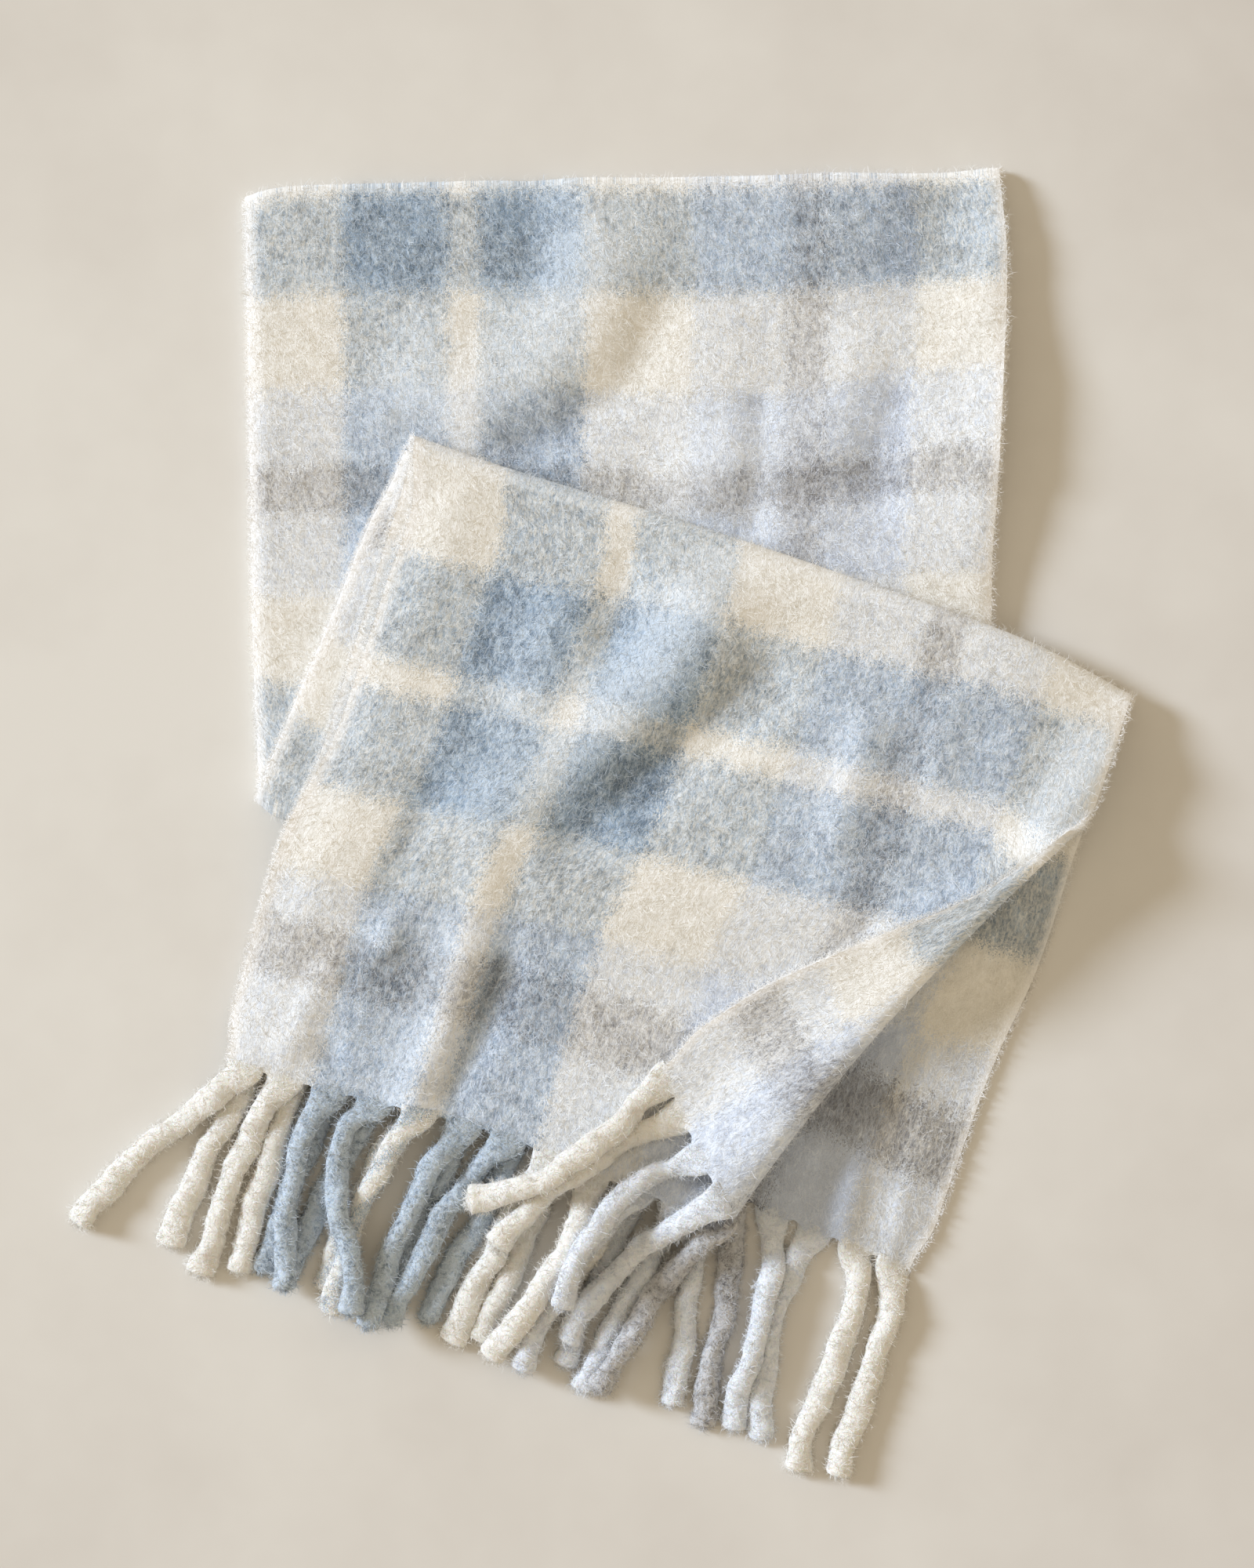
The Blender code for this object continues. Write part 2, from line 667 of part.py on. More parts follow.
def lay_tassel(root, length, bearings, laid, half_height, floor_of=None):
    """The middle line of a tassel: its plan route, and heights that rest on whatever lies under it."""
    places, directions = tassel_route(root.xy, length, bearings)
    step = length / TASSEL_RINGS
    heights = [root.z]
    for place in places[1:]:
        lowest = rest_height(place, laid, half_height)
        if floor_of:
            lowest = max(lowest, floor_of(place) + half_height)
        heights.append(max(lowest, heights[-1] - TASSEL_FALL * step))
    for k in range(TASSEL_RINGS - 1, 0, -1):
        heights[k] = max(heights[k], heights[k + 1] - TASSEL_CLIMB * step)
    laid.append((places, heights, half_height))
    return places, directions, heights


def strip_point(end, share, past, side):
    """A point of the backing strip, past the cloth's end, on its face for 1, in it for 0, on its back for -1."""
    k = max(i for i in range(len(end) - 1) if i == 0 or end[i][0] <= share)
    t = (share - end[k][0]) / (end[k + 1][0] - end[k][0])
    point, normal, down = (end[k][column].lerp(end[k + 1][column], t) for column in (1, 2, 3))
    return point + down * past + normal * side * CLOTH / 2


def fringe(name, end, reach, tassels, laid, half_height, collection, colour, floor_of=None):
    """A narrow strip along the cloth's end with a tassel out of each root, all one solid."""
    half_root = ROOT_HALF_WIDTH / CLOTH_WIDTH
    roots = [row[0] / TASSELS for row in tassels]
    edges = {round(root + side * half_root, 6) for root in roots for side in (-1, 1)}
    bends = {round(row[0], 6) for row in end if reach[0] < row[0] < reach[1]}
    bends = {bend for bend in bends if all(abs(bend - root) > half_root for root in roots)}
    bends = {bend for bend in bends if all(abs(bend - edge) > 1e-4 for edge in edges)}
    stations = sorted(edges | bends | set(reach))
    body = bmesh.new()
    inner, outer = SEAM_GAP, SEAM_GAP + STRIP_DEPTH
    corners = [(inner, -1), (outer, -1), (outer, 1), (inner, 1)]
    sections = [[body.verts.new(strip_point(end, station, *corner)) for corner in corners] for station in stations]
    body.faces.new(sections[0])
    body.faces.new(reversed(sections[-1]))
    fronts = {}
    for k, (before, after) in enumerate(zip(sections, sections[1:])):
        for side in range(4):
            following = (side + 1) % 4
            face = body.faces.new([before[side], after[side], after[following], before[following]])
            if side == 1:
                fronts[round(stations[k], 6)] = face
    order = range(len(tassels)) if floor_of else reversed(range(len(tassels)))
    for index in order:
        root, length, *bearings = tassels[index]
        share = roots[index]
        start = strip_point(end, share, outer, 0)
        over = strip_point(end, share + half_root, outer, 0) - strip_point(end, share - half_root, outer, 0)
        route = lay_tassel(start, length, bearings, laid, half_height, floor_of)
        grow_tassel(body, fronts[round(share - half_root, 6)], over.normalized(), route, half_height)
    return solid(name, body, collection, colour)


def grow_tassel(body, face, over, route, half_height):
    """Extrudes a root face along a tassel's middle line, as four level and upright sides.

    over is the root's own direction along the cloth's end, which may stand upright in the corner's roll.
    """
    places, directions, heights = route
    centre = face.calc_center_median()
    up = (face.verts[2].co - face.verts[1].co).normalized()
    for k in range(1, TASSEL_RINGS + 1):
        face = bmesh.ops.extrude_discrete_faces(body, faces=[face])["faces"][0]
        heading = directions[k - 1].lerp(directions[k], 0.5).normalized().to_3d()
        size = 1 - (1 - TASSEL_TIP) * smooth((k / TASSEL_RINGS - 0.7) / 0.3)
        level, upright = Vector((-heading.y, heading.x, 0)), Vector((0, 0, 1))
        next_over, half_over, half_up = level, TASSEL_HALF_WIDTH * size, half_height * size
        if abs(over.z) > abs(over.dot(level)):
            next_over, half_over, half_up = upright, half_up, half_over
        next_over = next_over * math.copysign(1, over.dot(next_over))
        next_up = heading.cross(next_over) * math.copysign(1, over.cross(up).dot(heading))
        middle = Vector((places[k].x, places[k].y, heights[k]))
        for vert in face.verts:
            out = vert.co - centre
            vert.co = (
                middle
                + next_over * math.copysign(half_over, out.dot(over))
                + next_up * math.copysign(half_up, out.dot(up))
            )
        centre, over, up = middle, next_over, next_up


def upper_face(place):
    """The top of the upper end, for the tassels that lie across it. Past its end there is the floor alone."""
    past_end = beyond_end(place)
    if past_end > STRIP_DEPTH + 2 * TASSEL_MARGIN:
        return 0.0
    return top_middle_height(place) + CLOTH / 2 + LAYER_AIR


def beyond_end(place):
    """How far a place lies past the upper end's fringe line."""
    end = curve_through(TOP_END)
    count = 40
    spots = [end(k / count) for k in range(count + 1)]
    nearest = min(range(count + 1), key=lambda k: (spots[k] - place).length)
    low, high = max(nearest - 1, 0), min(nearest + 1, count)
    run = (spots[high] - spots[low]).normalized()
    return (place - spots[nearest]).dot(Vector((run.y, -run.x)))


def build():
    for thing in list(bpy.data.objects):
        bpy.data.objects.remove(thing, do_unlink=True)
    collection = bpy.data.collections.new("blanket_scarf")
    bpy.context.scene.collection.children.link(collection)
    back_stretch(collection)
    middle_stretch(collection)
    under_fringe_end = under_end_wall(collection)
    top_fringe_end = top_end_wall(collection)
    laid = []
    fringe(
        "under_end_fringe", under_fringe_end, UNDER_STRIP, UNDER_TASSELS, laid, UNDER_HALF_HEIGHT,
        collection, CREAM,
    )
    fringe(
        "top_end_fringe", top_fringe_end, TOP_STRIP, TOP_TASSELS, laid, TASSEL_HALF_HEIGHT,
        collection, GREY_BLUE,
    )
    fringe(
        "turned_corner_fringe", top_fringe_end, CORNER_STRIP, CORNER_TASSELS, laid, TASSEL_HALF_HEIGHT,
        collection, CREAM, upper_face,
    )


build()
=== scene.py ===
"""A brushed wool blanket scarf, folded in half and then in three, on a pale floor.

The scarf is one woven rectangle with sixteen tassels at each end, and it is laid here stretch by stretch:
the back stretch on the floor, the middle stretch on it, then the lower and the upper fringed end, the upper
one with its right corner turned over. Metres, +Z up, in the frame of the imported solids.
"""

import math

import bpy
import numpy as np
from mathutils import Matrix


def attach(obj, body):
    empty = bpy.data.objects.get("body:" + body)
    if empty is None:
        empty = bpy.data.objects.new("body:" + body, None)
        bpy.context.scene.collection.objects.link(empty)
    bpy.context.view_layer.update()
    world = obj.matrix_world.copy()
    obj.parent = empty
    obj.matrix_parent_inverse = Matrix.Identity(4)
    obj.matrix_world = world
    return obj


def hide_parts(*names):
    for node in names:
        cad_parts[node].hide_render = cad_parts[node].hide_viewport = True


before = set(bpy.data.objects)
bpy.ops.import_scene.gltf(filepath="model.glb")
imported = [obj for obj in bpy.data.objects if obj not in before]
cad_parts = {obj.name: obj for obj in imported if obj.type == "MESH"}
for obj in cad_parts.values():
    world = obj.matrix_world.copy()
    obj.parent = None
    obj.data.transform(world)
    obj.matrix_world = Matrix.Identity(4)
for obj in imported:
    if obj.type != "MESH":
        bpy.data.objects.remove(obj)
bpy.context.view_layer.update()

# ----------------------------------------------------------------------------------------------------------
# The back stretch
# ----------------------------------------------------------------------------------------------------------
# The doubled cloth that lies on the floor, with the scarf's half-way fold at its far end. One layer of soft,
# brushed wool runs up it from the lower turn, over the far fold and back along the floor. All the stretches
# are this one cloth: its plan curves, its check, its wall and its nap are made here, where they first serve.

PLAN_CENTRE = np.array((0.0014, -0.0042))  # the origin, in the coordinates of the plan below
CLOTH_WIDTH = 0.45
WALL = 0.0040  # one brushed layer
LAYER = 0.0035  # the same layer pressed between two others
EDGE_ROUNDING = 0.36  # of the wall
ACROSS_CELLS = 112
HALF_WAY = 0.976  # from the fringe to the far fold, along the cloth
LOWER_TURN = (0.607, 0.525)  # the two other folds run askew: from the fringe at their left and right ends
UPPER_TURN = (0.376, 0.336)
UPPER_TURN_BOW = 1.2  # and the upper one bends a little
BACK_HEIGHT = 0.0095
FLOOR_AIR = 0.0001
BACK_ROWS = 88
HIDDEN_ROWS = 30
FOLD_ROWS = 6
EDGE_DROOP = 0.0022
EDGE_REACH = 0.009
TURN_INSET = 0.009  # where the lower turn starts to bend, short of its outline
COVERED_PAST = 0.002  # its folds start this far outside what covers it, and rise over the next width
COVERED_FADE = 0.020
SAG = 0.011  # the cloth is pulled a little out of square, so its bands sag right of the middle
SLACK = 0.0045  # and lie slack below
LIT_SIDE_SHIFT = (0.010, -0.004)  # painted light and shade on the folds is moved this far in plan toward the light, on to their lit sides
# painted highlight along the rounded far fold
FAR_FOLD_PAINTED_HIGHLIGHT = 0.7

# Outlines in plan, from left to right or from top to bottom.
BACK_TOP = [(-0.213, 0.373), (-0.188, 0.378), (-0.126, 0.380), (-0.048, 0.382), (0.070, 0.384)]
BACK_TOP += [(0.237, 0.388)]
BACK_LEFT = [(-0.210, 0.207), (-0.208, 0.100)]
BACK_RIGHT = [(0.241, 0.339), (0.239, 0.267), (0.235, 0.194), (0.232, 0.150), (0.233, 0.060)]
TURN = [(-0.206, 0.009), (-0.190, -0.001), (0.015, -0.030), (0.231, -0.064)]
CREST = [(-0.110, 0.225), (-0.058, 0.207), (0.051, 0.174), (0.147, 0.142), (0.253, 0.104), (0.315, 0.072)]
MIDDLE_LEFT = [(-0.127, 0.197), (-0.139, 0.175), (-0.158, 0.128), (-0.189, 0.055)]
MIDDLE_SIDE = [MIDDLE_LEFT[0], TURN[0]]

# Soft ridges and troughs: half width and height, then the points that each runs through.
BACK_FOLDS = [
    (0.014, -0.0018, (-0.044, 0.376), (-0.041, 0.324)),
    (0.015, 0.0014, (-0.006, 0.378), (-0.012, 0.340)),
    (0.030, 0.0052, (0.002, 0.330), (-0.012, 0.293), (-0.038, 0.268), (-0.082, 0.246)),
    (0.016, -0.0036, (0.034, 0.303), (0.012, 0.260), (-0.022, 0.234), (-0.048, 0.222)),
    (0.022, 0.0018, (0.070, 0.268), (0.052, 0.207)),
    (0.018, 0.0022, (-0.100, 0.290), (-0.125, 0.240)),
    (0.009, -0.0016, (0.094, 0.246), (0.092, 0.212), (0.089, 0.172)),
    (0.020, 0.0034, (0.078, 0.218), (0.064, 0.196), (0.050, 0.176)),
    (0.012, -0.0018, (0.118, 0.192), (0.160, 0.212)),
    (0.020, 0.0015, (0.135, 0.380), (0.132, 0.338)),
    (0.026, 0.0029, (0.154, 0.280), (0.144, 0.246), (0.126, 0.202), (0.114, 0.178)),
    (0.030, -0.0046, (0.199, 0.358), (0.188, 0.322)),
    (0.020, -0.0040, (0.174, 0.250), (0.163, 0.200)),
]
# Both layers stand up off the floor along the right edge.
EDGE_LIFTS = [
    (0.022, 0.0055, (0.250, 0.385), (0.248, 0.352)),
    (0.070, 0.0135, (0.272, 0.276), (0.266, 0.206)),
    (0.014, 0.0050, (0.246, 0.272), (0.242, 0.216)),
]
LOWER_LIFT = 0.5  # the lower layer's share of that


def curve_through(points):
    """A smooth curve through the points, read from 0 at its start to 1 at its end."""
    knots = np.array(points, float)
    reach = np.concatenate([[0.0], np.cumsum(np.linalg.norm(np.diff(knots, axis=0), axis=1))])
    order = np.arange(len(knots))
    low, high = np.maximum(order - 1, 0), np.minimum(order + 1, len(knots) - 1)
    slopes = (knots[high] - knots[low]) / (reach[high] - reach[low])[:, None]

    def at(share):
        distance = np.asarray(share, float) * reach[-1]
        k = np.clip(np.searchsorted(reach, distance, "right") - 1, 0, len(knots) - 2)
        span = (reach[k + 1] - reach[k])[..., None]
        t = (distance - reach[k])[..., None] / span
        ease = t * t * (3 - 2 * t)
        ends = knots[k] * (1 - ease) + knots[k + 1] * ease
        return ends + slopes[k] * span * t * (1 - t) ** 2 - slopes[k + 1] * span * t * t * (1 - t)

    return at


def moved(curve, offset):
    return lambda share: curve(share) + offset


def patch(top, bottom, left_points, right_points):
    """A four-sided plan surface between two curves, with its sides bent through the points given."""
    left = curve_through([top(0.0), *left_points, bottom(0.0)])
    right = curve_through([top(1.0), *right_points, bottom(1.0)])

    def at(across, along):
        u, v = np.asarray(across)[..., None], np.asarray(along)[..., None]
        down = top(across) * (1 - v) + bottom(across) * v
        over = left(along) * (1 - u) + right(along) * u
        upper = top(0.0) * (1 - u) + top(1.0) * u
        lower = bottom(0.0) * (1 - u) + bottom(1.0) * u
        return down + over - upper * (1 - v) - lower * v

    return at


def outward_of(points, side):
    """The unit plan direction square to a line of points, to its left for 1 and to its right for -1."""
    run = np.subtract(points[-1], points[0])
    run = run / np.linalg.norm(run)
    return np.array((-run[1], run[0])) * side


def beyond(points, side, place):
    """How far places lie outside the straight line between the first and last points."""
    return (place - np.array(points[0])) @ outward_of(points, side)


def smooth(t):
    t = np.clip(t, 0.0, 1.0)
    return t * t * (3 - 2 * t)


def fall(distance, width):
    """1 before an edge, and smoothly down to 0 over the width past it."""
    return 1 - smooth(distance / width)


def relief(folds, place):
    """The height that a table of soft ridges and troughs gives at places."""
    height = np.zeros(place.shape[:-1])
    for half_width, rise, *points in folds:
        nearest = np.full(place.shape[:-1], np.inf)
        for start, end in zip(points[:-1], points[1:]):
            run = np.subtract(end, start)
            share = np.clip((place - start) @ run / (run @ run), 0, 1)
            nearest = np.minimum(nearest, np.linalg.norm(place - start - share[..., None] * run, axis=-1))
        height += rise * np.exp(-((nearest / half_width) ** 2))
    return height


def painted_lit_side(folds, place, most):
    """From -1 to 1: painted light and shade, lighter on the side of each ridge that faces the light, and
    darker in each trough.
    """
    return np.clip(relief(folds, place + LIT_SIDE_SHIFT) / most, -1.0, 1.0)


def raised(place, height):
    return np.concatenate([place, np.broadcast_to(height, place.shape[:-1])[..., None]], axis=-1)


def half_turn(row, height, outward):
    """Rows that carry a sheet round half a circle, from its last row to a new height."""
    rows = []
    for step in range(1, FOLD_ROWS + 1):
        angle = math.pi * step / FOLD_ROWS
        radius = np.abs(height - row[:, 2]) / 2
        spot = row[:, :2] + outward * (radius * math.sin(angle))[:, None]
        rows.append(raised(spot, row[:, 2] + (height - row[:, 2]) * (1 - math.cos(angle)) / 2))
    return rows


def cloth_places(rows, from_fringe, pale=0.0):
    """Each point's place in the flat cloth, across and along it from the fringe, and its painted light and
    shade.
    """
    across = np.broadcast_to(np.linspace(0, CLOTH_WIDTH, rows.shape[1]), rows.shape[:2])
    return np.stack([across, from_fringe, np.broadcast_to(pale, rows.shape[:2])], axis=-1)


def sheet_mesh(name, rows, places):
    """A flat grid, laid row by row, with its place in the cloth and its painted light and shade as UV maps.
    """
    count_along, count_across = rows.shape[:2]
    bpy.ops.object.select_all(action="DESELECT")
    bpy.ops.mesh.primitive_grid_add(x_subdivisions=count_across - 1, y_subdivisions=count_along - 1)
    piece = bpy.context.object
    piece.name = piece.data.name = name
    piece.data.vertices.foreach_set("co", rows.reshape(-1).astype(np.float32))
    corner = np.zeros(len(piece.data.loops), np.int32)
    piece.data.loops.foreach_get("vertex_index", corner)
    give_uv_maps(piece.data, places.reshape(-1, 3)[corner])
    piece.data.update()
    return piece


def give_uv_maps(mesh, corner_places):
    """The place in the cloth as one UV map, and the painted light and shade as another."""
    while len(mesh.uv_layers) < 2:
        mesh.uv_layers.new()
    painted_light_values = corner_places[:, 2:] * (1.0, 0.0)
    for number, (name, values) in enumerate((("cloth", corner_places[:, :2]), ("pile", painted_light_values))):
        mesh.uv_layers[number].name = name
        mesh.uv_layers[number].uv.foreach_set("vector", values.reshape(-1).astype(np.float32))


def give_wall(piece, wall=WALL):
    """Thickens a laid sheet to both sides and rounds its edges."""
    thicken = piece.modifiers.new("wall", "SOLIDIFY")
    thicken.thickness, thicken.offset = wall, 0.0
    rounding = piece.modifiers.new("edge", "BEVEL")
    rounding.limit_method, rounding.angle_limit = "ANGLE", math.radians(60)
    rounding.width, rounding.segments = wall * EDGE_ROUNDING, 2
    for modifier in ("wall", "edge"):
        bpy.ops.object.modifier_apply(modifier=modifier)
    bpy.ops.object.mode_set(mode="EDIT")
    bpy.ops.mesh.select_all(action="SELECT")
    bpy.ops.mesh.normals_make_consistent(inside=False)
    bpy.ops.object.mode_set(mode="OBJECT")
    bpy.ops.object.shade_smooth()


class Wire:
    """A shader node's output. Sums on it add Math nodes, and node adds any other kind."""

    def __init__(self, tree, socket=None):
        self.tree, self.socket = tree, socket

    def node(self, kind, settings, inputs, output=0):
        made = self.tree.nodes.new("ShaderNode" + kind)
        for key, value in settings.items():
            if key == "stops":
                self.set_stops(made.color_ramp, value)
            else:
                setattr(made, key, value)
        for key, value in inputs.items():
            if isinstance(value, Wire):
                self.tree.links.new(value.socket, made.inputs[key])
            else:
                made.inputs[key].default_value = value
        return Wire(self.tree, made.outputs[output])

    @staticmethod
    def set_stops(ramp, stops):
        while len(ramp.elements) > 1:
            ramp.elements.remove(ramp.elements[-1])
        ramp.elements[0].position, ramp.elements[0].color = stops[0]
        for position, tint in stops[1:]:
            ramp.elements.new(position).color = tint

    def sum(self, operation, first, second):
        return self.node("Math", {"operation": operation}, {0: first, 1: second})

    def __add__(self, other):
        return self.sum("ADD", self, other)

    def __radd__(self, other):
        return self.sum("ADD", other, self)

    def __sub__(self, other):
        return self.sum("SUBTRACT", self, other)

    def __rsub__(self, other):
        return self.sum("SUBTRACT", other, self)

    def __mul__(self, other):
        return self.sum("MULTIPLY", self, other)

    def __rmul__(self, other):
        return self.sum("MULTIPLY", other, self)

    def __truediv__(self, other):
        return self.sum("DIVIDE", self, other)

    def clamped(self):
        return self.node("Clamp", {}, {0: self})

    def between(self, low, high):
        """0 up to low and 1 from high, with a soft step in between."""
        settings = {"interpolation_type": "SMOOTHSTEP"}
        return self.node("MapRange", settings, {"Value": self, "From Min": low, "From Max": high})


def colour(red, green, blue):
    """A colour as it looks, from 0 to 255, in the linear light that shaders use."""
    values = np.array((red, green, blue)) / 255
    linear = np.where(values <= 0.04045, values / 12.92, ((values + 0.055) / 1.055) ** 2.4)
    return (*linear.tolist(), 1.0)


def fibre(red, green, blue):
    """The square root of a colour. Fibres are mixed like this, as the eye blends them, and then squared."""
    return tuple(math.sqrt(channel) for channel in colour(red, green, blue))


# Each yarn is spun from a light, a dark and a tinted fibre.
YARNS = {
    "cream": (fibre(250, 248, 243), fibre(230, 226, 216), fibre(243, 238, 227)),
    "blue": (fibre(203, 216, 228), fibre(107, 124, 142), fibre(144, 168, 193)),
    "pale": (fibre(242, 246, 251), fibre(198, 206, 220), fibre(216, 226, 242)),
    "grey": (fibre(208, 209, 212), fibre(110, 110, 115), fibre(153, 156, 163)),
    "white": (fibre(252, 249, 244), fibre(238, 234, 226), fibre(246, 243, 237)),
}
LIT_THROUGH = fibre(230, 213, 186)  # thick fluff, with the light that comes through it
# The stripes across the cloth and the bands along it from the fringe: where each ends, and its yarn.
WARP = [(0.006, "white"), (0.057, "cream"), (0.119, "blue"), (0.138, "cream"), (0.199, "blue")]
WARP += [(0.264, "cream"), (0.320, "pale"), (0.344, "grey"), (0.397, "pale"), (0.444, "cream")]
WARP += [(CLOTH_WIDTH, "white")]
WEFT_LENGTH = 1.0
WEFT = [(0.054, "pale"), (0.086, "grey"), (0.116, "pale"), (0.171, "cream"), (0.234, "blue")]
WEFT += [(0.253, "cream"), (0.316, "blue"), (0.378, "cream"), (0.414, "pale"), (0.437, "grey")]
WEFT += [(0.500, "pale"), (0.552, "cream"), (0.608, "blue"), (0.626, "cream"), (0.676, "blue")]
WEFT += [(0.734, "cream"), (0.785, "pale"), (0.809, "grey"), (0.859, "pale"), (0.914, "cream")]
WEFT += [(0.970, "blue"), (WEFT_LENGTH, "cream")]


def yarn_ramp(bands, kind, length):
    """The stops of one kind of fibre along a row of bands."""
    starts = [0.0] + [end for end, _ in bands[:-1]]
    return [(start / length, YARNS[yarn][kind]) for start, (_, yarn) in zip(starts, bands)]


def wool_material(name, share, tone, fluffed=False):
    """Brushed wool in the check. Fibres of both yarns show everywhere, in short wavy streaks along the cloth.

    A share of the tone is mixed into it all: white in loose hairs as a painted highlight, and the light that
    comes through in fluff.
    Fluffed wool has its fibres every way, so its grain follows the place in space and stands out more.
    """
    material = bpy.data.materials.new(name)
    material.use_nodes = True
    tree = material.node_tree
    shader = tree.nodes["Principled BSDF"]
    start = Wire(tree)
    place = start.node("UVMap", {"uv_map": "cloth"}, {})
    across = start.node("SeparateXYZ", {}, {0: place})
    along = start.node("SeparateXYZ", {}, {0: place}, output=1)
    in_space = start.node("TexCoord", {}, {}, output=3)
    # pale: the painted light and shade, from -1 in painted shade to 1 on lit sides and folds
    pale = start.node("SeparateXYZ", {}, {0: start.node("UVMap", {"uv_map": "pile"}, {})})

    def noise(width, length, seed, detail=2.0, roughness=0.6, distortion=0.0):
        """Soft noise from 0 to 1, with spots of a width across the cloth and a length along it."""
        spots = start.node("CombineXYZ", {}, {0: across / width, 1: along / length, 2: seed})
        if fluffed:
            scale = {0: in_space, 3: 1 / math.sqrt(width * length)}
            spots = start.node("VectorMath", {"operation": "SCALE"}, scale)
        inputs = {"Vector": spots, "Scale": 1.0, "Detail": detail, "Roughness": roughness}
        return start.node("TexNoise", {}, {**inputs, "Distortion": distortion})

    def mixed(share, first, second):
        settings = {"data_type": "RGBA", "blend_type": "MIX"}
        return start.node("Mix", settings, {0: share, 6: first, 7: second}, output=2)

    hairs = noise(0.0005, 0.0021, 5.3, distortion=1.4)
    tufts = noise(0.0013, 0.0030, 1.7, detail=3.0, distortion=0.8)
    mottles = noise(0.0030, 0.0046, 13.3, distortion=0.5)
    patches = noise(0.0080, 0.0120, 3.9)
    clouds = noise(0.030, 0.040, 9.1)
    scatter = noise(0.0006, 0.0012, 17.7)
    scatter_along = noise(0.0009, 0.0009, 21.3)
    # Brushing pulls the fibres of each band out over its neighbours, so the check has soft ragged borders.
    spread_across = across + (scatter - 0.5) * 0.034 + (tufts - 0.5) * 0.015 + (patches - 0.5) * 0.010
    spread_along = along + (scatter_along - 0.5) * 0.042 + (hairs - 0.5) * 0.016 + (patches - 0.5) * 0.012

    def yarns(at, bands, length):
        """The three fibres of the yarn at a place, mixed by cloud, patch, tuft and hair."""
        kinds = []
        for kind in range(3):
            settings = {"stops": yarn_ramp(bands, kind, length)}
            made = start.node("ValToRGB", settings, {0: (at / length).clamped()})
            made.socket.node.color_ramp.interpolation = "CONSTANT"
            kinds.append(made)
        light, dark, tinted = kinds
        # The painted light and shade tip both mixes toward lighter fibres where lit and darker fibres in
        # shade.
        dye = clouds * 0.5 + patches * 0.3 + mottles * 0.2 + pale * 0.05
        shade = mixed(dye.between(0.36, 0.64), dark, tinted)
        if fluffed:
            fluff = hairs * 0.28 + tufts * 0.30 + mottles * 0.28 + patches * 0.14
            return mixed(fluff.between(0.36, 0.54), shade, light)
        grain = hairs * 0.32 + tufts * 0.26 + mottles * 0.28 + patches * 0.14 + pale * 0.06
        return mixed(grain.between(0.40, 0.60), shade, light)

    warp = yarns(spread_across, WARP, CLOTH_WIDTH)
    weft = yarns(spread_along, WEFT, WEFT_LENGTH)
    in_cloth = along.between(-0.004, 0.002)
    weft_share = noise(0.0016, 0.0040, 25.1, distortion=0.8).between(0.10, 0.90) * in_cloth
    woven = mixed(weft_share, warp, weft)
    edge = (1 - across.between(0.001, 0.010)) + across.between(CLOTH_WIDTH - 0.008, CLOTH_WIDTH)
    # Painted highlight: lit sides and folds are mixed toward the pale yarn's light fibre.
    painted_highlight_mix = mixed((pale - 0.15).clamped() * 0.31, woven, YARNS["pale"][0])
    edged = mixed(edge * in_cloth * 0.8, painted_highlight_mix, YARNS["white"][0])
    final = mixed(share, edged, tone)
    lit = start.node("VectorMath", {"operation": "MULTIPLY"}, {0: final, 1: final})
    tree.links.new(lit.socket, shader.inputs["Base Color"])
    height = hairs * 0.3 + tufts * 0.5 + mottles * 0.6 + patches * 0.4
    depth = 0.0022 if fluffed else 0.0012
    bump = start.node("Bump", {}, {"Strength": 0.8, "Distance": depth, "Height": height})
    tree.links.new(bump.socket, shader.inputs["Normal"])
    shader.inputs["Roughness"].default_value = 0.95
    shader.inputs["Specular IOR Level"].default_value = 0.1
    shader.inputs["Sheen Weight"].default_value = 0.3
    shader.inputs["Sheen Roughness"].default_value = 0.5
    return material


wool = wool_material("brushed_wool", 0.0, LIT_THROUGH)
# The loose hairs are mixed toward white: a painted highlight for the light that they catch.
highlit_nap_wool = wool_material("brushed_wool_nap_painted_highlight", 0.3, YARNS["white"][0])
highlit_fluff_nap = wool_material("fluffed_wool_nap_painted_highlight", 0.25, YARNS["white"][1], fluffed=True)
fluffed_wool = wool_material("fluffed_wool", 0.09, LIT_THROUGH, fluffed=True)
fluff_shader = fluffed_wool.node_tree.nodes["Principled BSDF"]
fluff_shader.inputs["Subsurface Weight"].default_value = 0.35
fluff_shader.inputs["Subsurface Radius"].default_value = (0.0050, 0.0038, 0.0026)
fluff_shader.inputs["Subsurface Scale"].default_value = 1.0


def from_fringe_between(start, end, count):
    """How far from the fringe each point of some rows lies, shared out between two folds of the cloth."""
    return start + (end - start) * np.linspace(0, 1, count)[:, None]


def cell_frames(rows, centres=None):
    """Each cell's directions along and across a grid, its normal, up or away from centres, and its area."""
    along = rows[1:, :-1] - rows[:-1, :-1]
    across = rows[:-1, 1:] - rows[:-1, :-1]
    normal = np.cross(across, along)
    area = np.linalg.norm(normal, axis=-1)
    away = normal[..., 2] if centres is None else np.sum(normal * (rows[:-1, :-1] - centres), axis=-1)
    normal = normal * (np.where(away < 0, -1.0, 1.0) / np.maximum(area, 1e-12))[..., None]
    return unit(along), unit(across), normal, area


def unit(vectors):
    return vectors / np.maximum(np.linalg.norm(vectors, axis=-1, keepdims=True), 1e-9)


HAIR = 0.00020  # a hair's thickness
ROOT_DEPTH = 0.0003
HAIR_BEND = 55  # how many degrees most hairs bend sideways
HAIR_FLOOR = 0.0002  # no hair reaches lower than this


